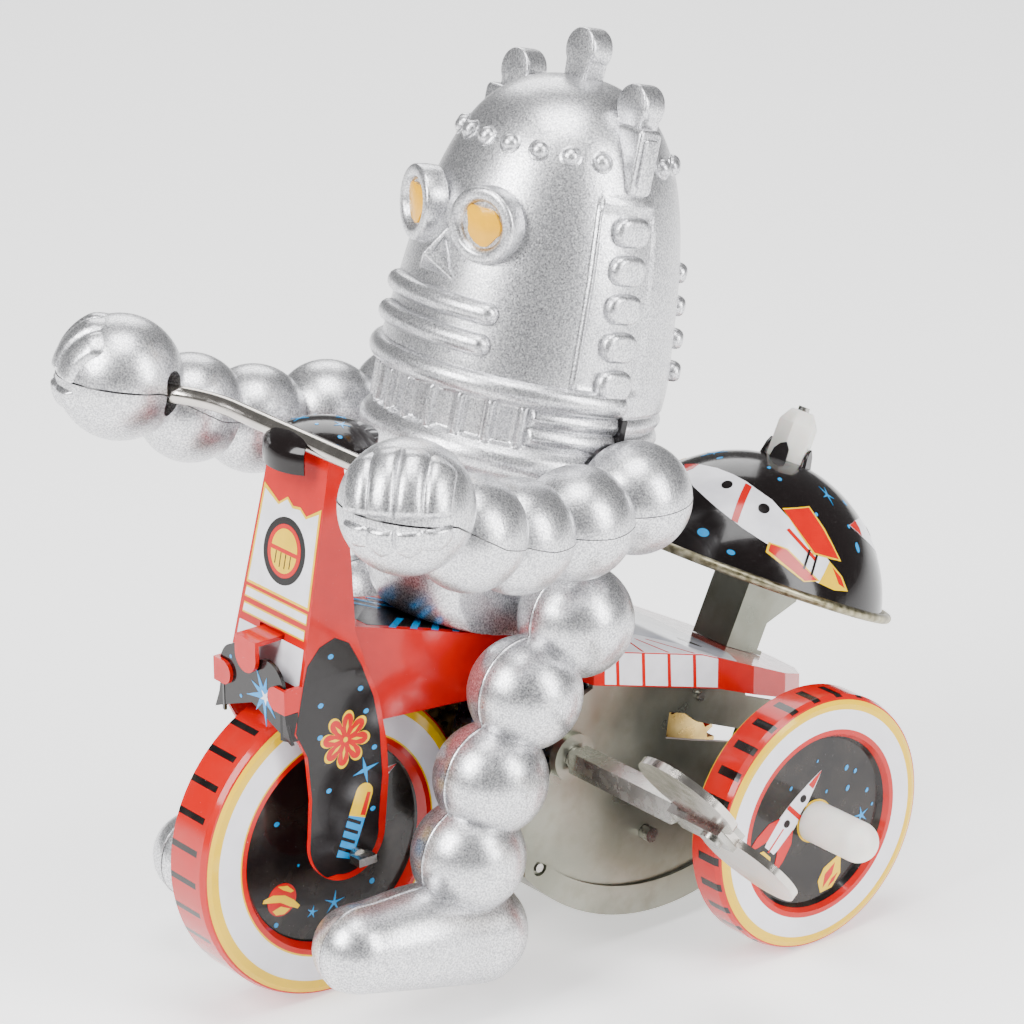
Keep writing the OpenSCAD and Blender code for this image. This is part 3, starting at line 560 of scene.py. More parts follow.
def on_head(turn, s, out=0.0):
    """Matrix that stands a shape on the head: its Z points out, its Y up the wall."""
    step = 2
    radius, below = (next(r for (r, _), (_, after) in zip(CROWN, CROWN[1:]) if after > level)
        for level in (s, s - step))
    slope = atan2(below - radius, step)
    return spin("Z", turn) @ shift(0, -radius - out, s) @ Matrix.Rotation(pi / 2 - slope, 4, "X")


def roll(radius, s, wire, half, sides=14):
    """A bead moulded round the face with rounded ends."""
    path = [(radius * sin(a), -radius * cos(a), s) for a in sweep(-half, half, 40)]
    return tube(path, wire, sides, round_ends=True)


def eye_place(side):
    return shift(side * 5.9, -14.85, 24.8) @ spin("Z", side * 17) @ spin("X", 97)


EYE_RING = ([(0.02, 0.0), (4.7, 0.0), (4.85, 1.2)]
    + [(4.35 + 0.5 * cos(t), 2.55 + 0.5 * sin(t)) for t in (0, 0.5, 1.0, 1.57)]
    + xy("3.75,3.12 3.45,3 3.2,2.75 3.05,2.45 2.9,2.3 0.02,2.3"))


def iris():
    """Paint flooded into the eye, with the ragged edge of a quick hand."""
    rng = random.Random(4)
    outline, steps = [], 48
    for i in range(steps):
        a = TAU * i / steps
        r = 2.45 + 0.13 * sin(3 * a + 0.6) + 0.1 * sin(5 * a + 2) + rng.uniform(-0.05, 0.05)
        r += 0.55 * exp(-((a - 2.5) / 0.35) ** 2)
        outline.append((0.3 + r * cos(a), r * sin(a)))
    return moved(rounded(outline, 0.5, 0.12, 2), shift(0, 0, 2.2))


def nose():
    """A three-cornered nose with a raised rim and a sunk face."""
    corners = [Vector((0, -16.9, 23.2)), Vector((-4.2, -16.9, 16.2)), Vector((4.2, -16.9, 16.2))]
    tip, root = Vector((0, -20.3, 19.4)), Vector((0, -14.0, 19.0))
    bm = bmesh.new()
    verts = [bm.verts.new(p) for p in corners + [tip, root]]
    for tri in ((0, 1, 3), (0, 3, 2), (1, 2, 3), (0, 4, 1), (0, 2, 4), (1, 4, 2)):
        bm.faces.new([verts[i] for i in tri])
    bmesh.ops.recalc_face_normals(bm, faces=bm.faces[:])
    bm.normal_update()
    outside = [e for e in bm.edges if verts[-1] not in e.verts]
    bmesh.ops.bevel(bm, geom=outside, offset=0.35, segments=3, profile=0.5, affect="EDGES")
    bm.normal_update()
    sides = sorted(bm.faces, key=lambda f: -f.calc_area())
    sides = [f for f in sides if f.normal.y < -0.3 and abs(f.normal.x) > 0.3][:2]
    bmesh.ops.inset_individual(bm, faces=sides, thickness=0.6, depth=0.0)
    bmesh.ops.inset_individual(bm, faces=sides, thickness=0.25, depth=-0.35)
    return taken(bm)


def lug(x, s, tall):
    """Round-topped lug standing on the head, with its rounded edges."""
    half = 2.75
    outline = [(-1.9, 0), (1.9, 0)] + arc(0, tall - half, half, -38, 218, 26)
    return moved(rounded(outline, 3.4, 0.55, 4), shift(x, 2.0, s) @ spin("X", 90))


def louvre(x, y, s, wide=5.4, tall=3.9, turn=88):
    """Rounded block on the side of the head."""
    block = rounded(stadium(wide, tall, 1.7), 2.2, 0.95, 5)
    return moved(block, shift(x, y, s) @ spin("Z", turn) @ spin("X", 90))


def on_rider(name, shape, material=SILVER, replaces=(), sharp=40):
    """A piece of the moulded head and belly."""
    piece(name, shape, material, "cycle", RIDER, replaces, sharp)


on_rider("head_front", head_shell(True, 380), replaces=["torso_front_shell"], sharp=60)
on_rider("head_rear", head_shell(False, 110), replaces=["torso_rear_shell"], sharp=60)
on_rider("lips", join(roll(18.0, 13.9, 1.5, 30), roll(18.45, 10.0, 1.5, 29.5)))
on_rider("collar_roll", roll(18.35, 5.2, 1.65, 90, 16))
on_rider("nose", nose())
on_rider("eye_rings", join(*[moved(lathe(EYE_RING, 64), eye_place(s)) for s in (-1, 1)]))
on_rider("eye_paint", join(*[moved(iris(), eye_place(s)) for s in (-1, 1)]), AMBER)
STUD = (xy("0.02,0 1.5,0 1.42,0.3 1.15,0.42")
    + [(1.12 * cos(t), 0.42 + 0.85 * sin(t)) for t in (0.3, 0.6, 0.9, 1.2, 1.5)])
STUD_TURNS = [*range(-68, 69, 17), *range(112, 249, 17)]
on_rider("brow_studs", join(*[moved(lathe(STUD, 24), on_head(a, 34.6, -0.3)) for a in STUD_TURNS]))
on_rider("head_lugs", join(lug(0, 41.8, 7.9), lug(11.6, 36.6, 8.2), lug(-11.6, 36.6, 8.2)))

# turns a flat shape's Z to +X
SIDEWAYS = spin("Z", 90) @ spin("X", 90)


def bracket():
    """Upright block in front of the seam, below the left lug, with a raised field."""
    block = moved(rounded(stadium(3.6, 8.4, 0.7), 4.8, 0.5), shift(10.6, -0.4, 35.4) @ SIDEWAYS)
    field = moved(rounded(stadium(2.0, 6.2, 0.4), 0.7, 0.2), shift(15.1, -0.4, 35.4) @ SIDEWAYS)
    return join(block, field)


blocks = join(bracket(), *[louvre(17.3 - 0.45 * i * (1 + 0.08 * i), -1.1, 7.8 + 4.75 * i) for i in range(5)])
back = join(*[louvre(10.2 - 0.32 * i * (1 + 0.1 * i), 14.6 - 0.42 * i, 8.5 + 4.2 * i, 3.6, 2.6, 146)
        for i in range(4)])
gap = moved(rounded(stadium(0.9, 5.2, 0.1), 2.4, 0.05, 1), shift(16.6, 1.7, 0.9) @ SIDEWAYS)
on_rider("ear_blocks", join(blocks, mirrored(blocks)))
on_rider("back_blocks", join(back, mirrored(back)))
on_rider("seam_gaps", join(gap, mirrored(gap)), GAP)


# ---- arms and legs ----

SHOULDER_Z = 65.986
ARM_BEADS = [(23.8, -24.052, SHOULDER_Z), (25.9, -35.2, SHOULDER_Z), (27.4, -45.9, 67.3), (29.1, -54.6, 70.3)]
HAND = (30.1, -64.6, 76.4)
HAND_R = 8.2
SEAM_LINE = [(-5, SHOULDER_Z), (-35.2, SHOULDER_Z), (-45.9, 67.3), (-54.6, 70.3), (-63.5, 76.0), (-80, 79.0)]
LEG_X = 17.6
LEG_BEADS = [(1.6, -22.9, 7.5), (-4.4, -32.6, 7.4), (-7.2, -43.9, 7.4), (-8.3, -54.2, 7.4)]
SHOE = [(-23.5, -66.0, 5.6), (-4.6, -64.4, 6.8)]
LINE_SIDES = 6


def on_limb(name, shape, body, material=SILVER, sharp=40):
    """A piece of an arm or a leg, in the CAD frame."""
    piece(name, shape, material, body, sharp=sharp)


def seam_height(y):
    for (y0, z0), (y1, z1) in zip(SEAM_LINE, SEAM_LINE[1:]):
        if y1 <= y <= y0:
            return z0 + (z1 - z0) * (y - y0) / (y1 - y0)
    return SEAM_LINE[0][1]


def bead_seam(centre, r, thick, steps=56):
    """The fine line round a bead where its two halves meet."""
    cx, cy, cz = centre
    path = []
    for i in range(steps):
        a = TAU * i / steps
        flat = r
        for _ in range(3):
            z = seam_height(cy + flat * sin(a))
            flat = sqrt(max(r * r - (z - cz) ** 2, 0.01))
        path.append((cx + flat * cos(a), cy + flat * sin(a), z))
    return tube(path, thick, LINE_SIDES, closed=True)


arm_line = join(*[bead_seam(p, ARM_R - 0.02, 0.07) for p in ARM_BEADS],
    bead_seam(HAND, HAND_R - 0.02, 0.13, 72))
on_limb("arm_left_seam", arm_line, "arm_left", GAP)
on_limb("arm_right_seam", mirrored(arm_line), "arm_right", GAP)


def leg_seam(offset, thick, steps=56):
    """Lines round a leg's beads and shoe, in the plane at offset from the leg's middle."""
    shapes = []
    for y, s, r in LEG_BEADS:
        flat = sqrt(r * r - offset * offset)
        path = [(LEG_X + offset, y + flat * c, s + flat * up) for c, up in circle(steps)]
        shapes.append(tube(path, thick, LINE_SIDES, closed=True))
    (y0, s0, r0), (y1, s1, r1) = SHOE
    tilt = degrees(atan2(s1 - s0, y1 - y0))
    outline = arc(y0, s0, r0, tilt + 94, tilt + 266, 26) + arc(y1, s1, r1, tilt - 94, tilt + 86, 26)
    shapes.append(tube([(LEG_X + offset, y, s) for y, s in outline], thick, LINE_SIDES, closed=True))
    return moved(join(*shapes), RIDER)


for side, body in ((1, "leg_left"), (-1, "leg_right")):
    flash, line = leg_seam(0.0, 0.13), leg_seam(-0.22, 0.06)
    if side < 0:
        flash, line = mirrored(flash), mirrored(line)
    on_limb(body + "_flash", flash, body)
    on_limb(body + "_seam", line, body, GAP)


def fingers():
    """Four fingers folded round the bar: ridges over the hand, rounded tips below its seam."""
    grip = radians(42)
    across = Vector((cos(grip), sin(grip), 0))
    ahead = Vector((sin(grip), -cos(grip), 0))
    up = Vector((0, 0, 1))
    pitch, width, wall = 3.35, 6.7, 1.0
    lowest, highest = -46, 84
    t_steps, a_steps = 66, 70
    outer, inner = [], []
    for i in range(a_steps + 1):
        turn = lowest + (highest - lowest) * i / a_steps
        out_row, in_row = [], []
        for j in range(t_steps + 1):
            t = -width + 2 * width * j / t_steps
            finger = abs(((t + width) / pitch) % 1 - 0.5) * 2
            ridge = sqrt(max(0.0, 1 - finger ** 2.6))
            if turn > 4:
                level = smooth_step(turn, 4, 12) * (1 - smooth_step(turn, 58, highest))
                height = 0.95 * ridge * level
            elif turn < -1:
                tip = 1 - max(0.0, (-turn - 14) / 18 + 0.4 * finger) ** 2
                height = 0.9 * ridge * sqrt(max(tip, 0)) * smooth_step(-turn, 1, 6)
            else:
                height = 0.0
            edge = smooth_step(abs(t), width - 0.7, width)
            r = HAND_R - 0.22 + height * (1 - edge)
            ring = sqrt(HAND_R ** 2 - t * t)
            a = radians(turn + 4)
            direction = (ring * (cos(a) * ahead + sin(a) * up) + t * across) / HAND_R
            out_row.append(Vector(HAND) + direction * r)
            in_row.append(Vector(HAND) + direction * (HAND_R - wall))
        outer.append(out_row)
        inner.append(in_row)
    return skin([o + n[::-1] for o, n in zip(outer, inner)])


hand = fingers()
on_limb("fingers_left", hand, "arm_left", sharp=70)
on_limb("fingers_right", mirrored(hand), "arm_right", sharp=70)


# ---- printed shapes ----

# lift of the lowest layer of ink, step to the next, and how far a film reaches into the tin
INK_LIFT, INK_STEP, INK_UNDER = 0.02, 0.022, 0.06


def ink(name, outlines, where, material, body, layer, cut):
    """Outlines in (u, v), printed on the surface that where(u, v, height) describes."""
    bm = bmesh.new()
    for outline in outlines:
        bm.faces.new([bm.verts.new((u, v, 0)) for u, v in outline]).normal_update()
    bmesh.ops.triangulate(bm, faces=bm.faces[:])
    if cut:
        for axis in (0, 1):
            spread = [v.co[axis] for v in bm.verts]
            low, high = floor(min(spread) / cut), ceil(max(spread) / cut)
            for k in range(low, high + 1):
                point, normal = [0, 0, 0], [0, 0, 0]
                point[axis], normal[axis] = k * cut, 1
                bmesh.ops.bisect_plane(bm, geom=bm.verts[:] + bm.edges[:] + bm.faces[:], dist=1e-5,
                    plane_co=point, plane_no=normal)
        bmesh.ops.triangulate(bm, faces=bm.faces[:])
    grown = bmesh.ops.extrude_face_region(bm, geom=bm.faces[:])
    for item in grown["geom"]:
        if isinstance(item, bmesh.types.BMVert):
            item.co.z = 1
    top = INK_LIFT + INK_STEP * layer
    for vert in bm.verts:
        vert.co = where(vert.co.x, vert.co.y, top if vert.co.z > 0.5 else -INK_UNDER)
    piece(name, taken(bm), material, body, sharp=50)


def printer(where, prefix="", body="cycle", cut=None):
    """Prints on one surface; cut is the size of the facets where the surface is curved."""
    def put(name, outlines, material, layer=1):
        ink(prefix + name, outlines, where, material, body, layer, cut)
    return put


def dot(u, v, r, squash=1.0, turn=0.0, steps=20):
    return turned([(r * c, squash * r * s) for c, s in circle(steps)], u, v, turn)


def star(u, v, outer, inner, points, turn=90.0, longest=1.0):
    """A star whose rays grow from 1 to longest round it."""
    out = []
    for i in range(2 * points):
        a = radians(turn + 180 * i / points)
        r = inner if i % 2 else outer * (1 + (longest - 1) * ((i // 2) * 5 % points) / points)
        out.append((u + r * cos(a), v + r * sin(a)))
    return out


def flower(u, v, r, petals, turn, steps=12):
    """Round-ended petals about a middle."""
    out = []
    for i in range(petals * steps):
        a = pi * i / steps
        reach = r * (0.52 + 0.48 * abs(cos(a)) ** 0.55)
        angle = radians(turn) + 2 * a / petals
        out.append((u + reach * cos(angle), v + reach * sin(angle)))
    return out


def turned(points, u, v, turn, size=1.0, wide=1.0):
    c, s = cos(radians(turn)), sin(radians(turn))
    return [(u + size * x * c - wide * y * s, v + size * x * s + wide * y * c) for x, y in points]


def both(points):
    """The outline and its mirror image across the axis."""
    return points, [(x, -y) for x, y in reversed(points)]


# a rocket one unit long, from its tail at x = 0 to its nose at x = 1
HULL = [(0.04, 0.3)] + [(x, 0.5 * sin(pi * (0.3 + 0.7 * x) ** 1.15) * (1 - 0.25 * x) + 0.02)
    for x in (0.2, 0.35, 0.5, 0.65, 0.8, 0.92)]
ROCKET = {
    "white": [[(x, -y) for x, y in HULL] + [(1.0, 0.0)] + HULL[::-1]],
    "red": [xy("0.8,-0.16 0.9,-0.09 1,0 0.9,0.09 0.8,0.16"),
        xy("0.47,-0.43 0.52,-0.42 0.52,0.42 0.47,0.43"),
        xy("0.02,-0.04 0.3,-0.03 0.3,0.03 0.02,0.04"),
        *both(xy("0.36,0.44 0.24,0.78 0.05,0.92 -0.1,0.9 -0.02,0.62 0.1,0.36"))],
    "yellow": [xy("0,-0.24 -0.05,-0.4 -0.22,-0.1 -0.34,0 -0.22,0.1 -0.05,0.4 0,0.24")],
}
ROCKET_INKS = (("white", WHITE_INK, 1), ("red", RED_INK, 2), ("yellow", YELLOW_INK, 1))
ROCKET_PORTS, ROCKET_PORT_R = (0.36, 0.66), 0.15


def rocket(put, u, v, turn, length, width):
    for colour, material, layer in ROCKET_INKS:
        outlines = [turned(o, u, v, turn, length, width) for o in ROCKET[colour]]
        put("rocket_" + colour, outlines, material, layer)
    middles = turned([(x, 0) for x in ROCKET_PORTS], u, v, turn, length)
    put("rocket_ports", [dot(*middle, ROCKET_PORT_R * width) for middle in middles], BLACK_INK, 3)


def plane_x(x, hub, side):
    """The face of a wheel, seen from outside, with u to the rear and v up."""
    return lambda u, v, h: Vector((side * (x + h), hub[0] + u, hub[1] + v))


REAR_FACE_X, FRONT_FACE_X = 32.1, 2.6
BLADE_X, COLUMN_FOOT_Z, COLUMN_TAPER = 7.6, 46, 0.0571
SIDES = ((1, "left"), (-1, "right"))


def blade_face(side):
    """The fork blade, and the column above it, which leans inwards: u is y and v is z."""
    return lambda u, v, h: Vector((side * (BLADE_X + h - max(0.0, v - COLUMN_FOOT_Z) * COLUMN_TAPER), u, v))


FLAME = xy("0,0 0.18,0.42 0.5,0.5 1,0.1 0.62,-0.42 0.25,-0.4")
FLAME_CORES = [xy("0.12,0.02 0.4,0.28 0.75,0.12 0.5,-0.05"),
    xy("0.2,-0.2 0.4,-0.15 0.6,-0.28 0.4,-0.32")]
FLAME_AT = (1.4, -10.9, 50, 6.0, 3.6)
PLANET = (-8.0, -5.9)
FIELD = (xy("-63.9,46 -63.2,48.2 -61.2,50.2 -58.8,50.9 -56.7,49.7 -55,46.4 -53.2,41.6 -52.3,36.9 "
        "-52,30.5 -52.5,26.2") + arc(-57.7, 23.4, 5.0, 5, -110, 10)
    + arc(-57.6, 23.5, 5.85, -125, -179, 7) + xy("-63,30 -63.5,36 -65.25,39.7 -64.9,41.5"))
BLOOM, BLOOM_TURN, PETALS = (-57.7, 36.9), 80, 8
ROD = (-58.2, 20.6, 68)

for side, label in SIDES:
    put = printer(plane_x(REAR_FACE_X, REAR_HUB, side), "rear_%s_" % label, "rear_wheels")
    rocket(put, -8.2, -2.4, 45, 13.2, 3.6)
    put("dots", [dot(u, v, r, 0.7, 60) for u, v, r in
            ((5.6, 6.0, 0.42), (7.2, 5.1, 0.34), (5.9, 3.0, 0.42), (9.4, 1.7, 0.34), (2.1, 3.6, 0.25),
            (-4.2, 5.8, 0.3), (10.4, -0.6, 0.25), (-5.7, -7.8, 0.34), (0.4, 8.4, 0.2))]
        + [star(8.5, -1.7, 1.3, 0.3, 5, 100, 1.4)], BLUE_INK)
    put("flame", [turned(FLAME, *FLAME_AT)], YELLOW_INK)
    put("flame_core", [turned(core, *FLAME_AT) for core in FLAME_CORES], RED_INK, 2)
    put("hub_ring", [dot(0, 0, 3.0, steps=40)], YELLOW_INK)

    put = printer(plane_x(FRONT_FACE_X, FRONT_HUB, side), "front_%s_" % label, "front_wheel")
    put("planet", [dot(*PLANET, 2.25, steps=30)], RED_INK)
    put("planet_bands", [turned(xy("-2.9,0.25 -1.5,0.75 0.4,0.55 1.9,-0.2 3,-1.1 2.7,-1.5 1.4,-1.05 "
            "-0.2,-0.35 -1.9,-0.25 -3,-0.2"), *PLANET, -10),
            turned(xy("-0.6,2 0.9,1.7 1.9,0.7 1.4,0.6 0.2,1.3"), *PLANET, 0),
            turned(xy("-1.5,-1.2 -0.2,-0.9 1.2,-1.6 0.3,-2.1 -1,-1.9"), *PLANET, 0)],
        YELLOW_INK, 2)
    put("sky", [star(0.2, -8.8, 1.7, 0.3, 5, 80, 1.5), star(-3.3, -9.1, 0.9, 0.25, 5, 70, 1.3),
            dot(-8.5, 4.8, 0.42, 0.8), dot(-9.0, -9.2, 0.34), dot(-5.3, -1.9, 0.2), dot(4.5, 8.5, 0.4),
            dot(8.4, 3.5, 0.34), dot(6.3, -7.6, 0.4), dot(-2.2, 9.6, 0.3)], BLUE_INK)
    rocket(put, 3.4, 5.2, 20, 7.6, 2.4)

    printer(blade_face(side), "blade_%s_" % label, cut=2.0)("field", [FIELD], BLACK_INK)
    put = printer(blade_face(side), "blade_%s_" % label)
    put("flower_edge", [flower(*BLOOM, 3.9, PETALS, BLOOM_TURN)], YELLOW_INK, 2)
    put("flower", [flower(*BLOOM, 3.5, PETALS, BLOOM_TURN)], RED_INK, 3)
    put("flower_lines", [turned(xy("0.9,0 1.7,0.2 2.7,0 1.7,-0.2"), *BLOOM, BLOOM_TURN + 360 // PETALS * i)
            for i in range(PETALS)] + [dot(*BLOOM, 0.35)], YELLOW_INK, 4)
    put("dots", [dot(u, v, 0.42, 0.8) for u, v in
            ((-59.6, 48.6), (-55.2, 43.2), (-61.4, 42.5), (-61.6, 38.2), (-53.2, 34.6), (-60.4, 30.6),
            (-53.6, 26.2), (-54.4, 39.9))] + [star(-54.7, 31.9, 1.9, 0.4, 4, 100, 1.2)], BLUE_INK, 2)
    put("rod_base", [turned(xy("0,-1.35 5.6,-1.35 5.6,1.35 0,1.35"), *ROD)], BLUE_INK, 2)
    put("rod_rungs", [turned([(0.7 + 1.3 * i, -0.9), (1.15 + 1.3 * i, -0.9), (1.45 + 1.3 * i, 1.35),
            (1.0 + 1.3 * i, 1.35)], *ROD) for i in range(4)], BLACK_INK, 3)
    put("rod_top", [turned([(5.6, -1.35)] + arc(8.8, 0, 1.35, -90, 90, 10) + [(5.6, 1.35)], *ROD)],
        YELLOW_INK, 2)
    put("rod_stripe", [turned(xy("5.9,-1.25 9,-1 9,-0.45 5.9,-0.45"), *ROD)], RED_INK, 3)

# front of the column: u across and v up the raked face
RAKE = atan(6 / 28)
COLUMN_FACE = shift(0, -64.1, COLUMN_FOOT_Z) @ Matrix.Rotation(pi / 2 - RAKE, 4, "X")
PORT_X, PORT_Y = 0.1, 15.1
STRIPES = [(7.6, 8.6), (5.55, 6.5)]


def panel(grow):
    """The ragged white panel, grown outwards for its edge."""
    return [(-6.2 - grow, 9.6 - grow), (6.3 + grow, 9.6 - grow), (5.7 + grow, 21.4 + 2 * grow),
        (3.3, 20.1 + grow), (1.9, 20.9 + grow), (0.4, 20.7 + grow), (-0.9, 21.5 + grow), (-2.5, 20.4 + grow),
        (-5.6 - grow, 21.7 + 2 * grow)]


def half_disc(start):
    """Half of the port's disc, a little way off its middle line."""
    off = 0.18 if start < 180 else -0.18
    return [(PORT_X + x, PORT_Y + y) for x, y in arc(0, off, 2.65, start, start + 176, 20)]


def port_bar(x):
    left, right, foot = PORT_X + x - 0.09, PORT_X + x + 0.09, PORT_Y - 2.3 + 0.25 * abs(x)
    return [(left, PORT_Y - 0.3), (right, PORT_Y - 0.3), (right, foot), (left, foot)]


put = printer(lambda u, v, h: COLUMN_FACE @ Vector((u, v, h)))
put("column_panel_edge", [panel(0.35)], YELLOW_INK)
put("column_panel", [panel(0.0)], WHITE_INK, 2)
put("port_black", [dot(PORT_X, PORT_Y, 4.3, steps=40)], BLACK_INK, 3)
put("port_red", [dot(PORT_X, PORT_Y, 3.4, steps=40)], RED_INK, 4)
put("port_yellow", [half_disc(2), half_disc(182)], YELLOW_INK, 5)
put("port_bars", [port_bar(x) for x in (-1.5, -0.5, 0.5, 1.5)], BLACK_INK, 6)
put("stripe_edges", [[(-6.5, a - 0.22), (6.6, a - 0.22), (6.5, b + 0.22), (-6.4, b + 0.22)]
        for a, b in STRIPES], YELLOW_INK)
put("stripes", [[(-6.4, a), (6.5, a), (6.4, b), (-6.3, b)] for a, b in STRIPES], WHITE_INK, 2)
put("column_foot", [xy("-7,-0.6 7,-0.6 6.8,4.3 -6.8,4.3")], WHITE_INK)

PLATE_Y = -66.4
put = printer(lambda u, v, h: Vector((u, PLATE_Y - h, v)))
put("burst", [star(2.6, 43.6, 2.7, 1.1, 9, 75, 1.7)], BLUE_INK)
put("burst_core", [star(2.9, 43.4, 1.1, 0.4, 5, 60)], WHITE_INK, 2)
put("plate_dots", [dot(-5.4, 43.4, 0.3), dot(-4.4, 46.6, 0.25), dot(-2.4, 41.9, 0.25)], BLUE_INK)

# body: skirt stripes, pale deck and the dark print by the rider, with lines in (y, z)
TOP_LINE = xy("-55.2,50.94 -19,41.377 -6,37.6 4,33.102 21.5,24.567")
SKIRT_LINE = xy("-25.5,38.5 -3.3,32 9.2,26.9 21.5,22.6")
SKIRT_X = 16.6
STRIPES_Y = (-20.6, -16.2, -11.8, -7.4)


def along_line(line, y):
    for (y0, z0), (y1, z1) in zip(line, line[1:]):
        if y <= y1:
            return z0 + (z1 - z0) * (y - y0) / (y1 - y0)
    return line[-1][1]


def skirt(side):
    """u is y; v runs from 0 at the lower edge to 1 at the top edge."""
    def where(u, v, h):
        low, high = along_line(SKIRT_LINE, u), along_line(TOP_LINE, u)
        return Vector((side * (SKIRT_X + h), u, low + (high - low) * v))
    return where


def across(side, points):
    """Points drawn for the left side, put on either side."""
    return [(side * x, y) for x, y in points]


def wing_line(y):
    """A line from the wing's outer edge towards its point."""
    end = 0.42 * (y + 12)
    return [(16.4, y - 0.2), (16.4, y + 0.2), (10.4, -12.4 + end), (10.4, -12.7 + end)]


def ray(side, i):
    """One of the fan of rays beside the rider; the later ones start nearer the middle."""
    y = -33.5 - 3.0 * i
    edge = 9.0 - 0.165 * (-33 - y)
    return across(side, [(edge - 0.2, y), (edge - 0.5, y - 0.9), (2.0, y + 3.4), (2.4, y + 4.2)])


top = printer(lambda u, v, h: Vector((u, v, along_line(TOP_LINE, v) + h)), cut=1.0)
for side, label in SIDES:
    put = printer(skirt(side), cut=2.0)
    put("skirt_white_" + label, [xy("-22.8,0.04 -3.4,0.04 -3.4,0.97 -22.8,0.97")], WHITE_INK)
    put("skirt_stripes_" + label, [[(y - 0.28, 0.04), (y + 0.28, 0.04), (y + 0.1, 0.97), (y - 0.45, 0.97)]
            for y in STRIPES_Y], RED_INK, 2)
    top("wing_" + label, [across(side, xy("16.5,-22.5 16.5,-3.4 15.2,-3.4 8.4,-10.6 9.6,-16"))],
        WHITE_INK, 2)
    top("wing_lines_" + label, [across(side, wing_line(y)) for y in STRIPES_Y], RED_INK, 3)
    top("wing_tip_" + label, [across(side, xy("8.2,-15.6 10.2,-16.4 10,-13.6 8,-13.4"))],
        YELLOW_INK, 3)
    top("beam_rays_" + label, [ray(side, i) for i in range(6)], BLUE_INK, 2)
top("beam_print", [xy("-8.2,-31.2 -4.9,-52 4.9,-52 8.2,-31.2 8.6,-26.6 -8.6,-26.6")],
    BLACK_INK)
top("deck", [xy("-15.9,-21.5 15.9,-21.5 15.9,0.6 10.4,4 -10.4,4 -15.9,0.6")], LILAC_INK)
top("deck_slots", [dot(side * 8.8, -1.6, 1.9, 0.42, 20 * side) for side in (1, -1)], BLACK_INK, 2)


# ---- bell and cap print ----

def dome(lon0, lat0):
    """u to the right and v up on the dome, both in mm, about a middle longitude and latitude."""
    def where(u, v, h):
        lat = radians(lat0) + v / DOME_R
        lon = radians(lon0) + u / (DOME_R * cos(radians(lat0)))
        r = DOME_R + h
        return BELL @ Vector((r * cos(lat) * cos(lon), r * cos(lat) * sin(lon),
                r * sin(lat) - DOME_DROP))
    return where


BELL_ROCKET = {
    "white": [xy("-17.5,3.9 -14.5,5 -10.3,5.7 -6.5,5.7 -3.5,5.3 1.8,3.7 5.9,1 9.1,-0.8 11.5,-2.7 "
        "10.3,-6.1 7.5,-5.6 3.2,-3.3 -0.5,-2.3 -4.8,-0.8 -7.9,0.3 -9.9,0.9 -14.5,2.6")],
    "yellow": [xy("3.7,2.9 8.2,4.9 10.7,2 13.4,-2.2 9,-2.5"),
        xy("11.5,-2.7 13.6,-4.2 14.8,-6 12.6,-6.4 10.3,-6.1"),
        xy("3.1,-2.9 5.6,-2.9 10.4,-5.8 8.4,-6.6 3.1,-4.4")],
    "red": [xy("-17.4,3.9 -14.5,5 -14.1,3.8 -14.5,2.6"),
        xy("-3.4,4.9 -2.1,4.7 -1.3,-1.9 -2.2,-1.7"),
        xy("3.9,2.7 8.1,4.6 10.35,1.9 13,-2 9.2,-2.2"),
        xy("3.4,-3.1 5.5,-3.1 10,-5.8 8.5,-6.4 3.4,-4.1"),
        xy("4.9,-0.3 5.2,0.1 9.7,-3 9.4,-3.4"),
        xy("12,-3.4 13.4,-4.4 14.2,-5.7 13.2,-5.4")],
    "ports": [dot(1.1, 1.75, 0.85, 0.95), dot(-5.8, 3.4, 0.85, 0.95),
        xy("8.3,-2 8.6,-2 8.2,-4.9 7.9,-4.9"),
        xy("9.4,-2.4 9.7,-2.4 9.3,-5.4 9,-5.4")],
}
BELL_INKS = {"white": WHITE_INK, "yellow": YELLOW_INK, "red": RED_INK, "ports": BLACK_INK}
BELL_SKY = [dot(-1.8, 10.4, 0.5, 0.7), dot(1.9, 8.4, 0.5, 0.8), dot(-4.6, -4.9, 0.75, 0.8),
    dot(-0.6, -6.1, 0.5, 0.7), dot(17.4, 0.6, 0.75, 0.6, 90), dot(16.6, 3.6, 0.3), dot(9.5, 3.9, 0.3),
    dot(-13.8, 8.0, 0.5), star(14.2, 8.6, 2.0, 0.35, 5, 60, 1.2)]

BELL_PRINT_LAT = 36
for index, lon in enumerate((-52, 70, 190)):
    put = printer(dome(lon, BELL_PRINT_LAT), "bell_%d_" % index, "bell", 1.5)
    for layer, (colour, material) in enumerate(BELL_INKS.items(), 1):
        put("rocket_" + colour, BELL_ROCKET[colour], material, layer)
    put("sky", BELL_SKY, BLUE_INK)

COLUMN_Y = -55.0
CAP_R, CAP_MIDDLE_Z = 14, 62.6


def cap_face(u, v, h):
    """The domed cap on the column: u across, v back from its middle."""
    r = CAP_R + h
    drop = (u * u + v * v) * (r / CAP_R) ** 2
    return Vector((u * r / CAP_R, COLUMN_Y + v * r / CAP_R, CAP_MIDDLE_Z + sqrt(max(r * r - drop, 1))))


printer(cap_face, cut=1.0)(
    "cap_stars", [star(-3.4, -0.6, 1.3, 0.25, 4, 20, 1.2), star(2.2, 1.6, 1.1, 0.25, 5, 50, 1.2),
        star(-0.6, 3.6, 0.9, 0.2, 4, 10), dot(0.6, -1.0, 0.25), dot(4.6, -0.4, 0.3),
        dot(-4.6, 2.6, 0.25)], BLUE_INK)


# ---- small fittings that the CAD keeps plain ----

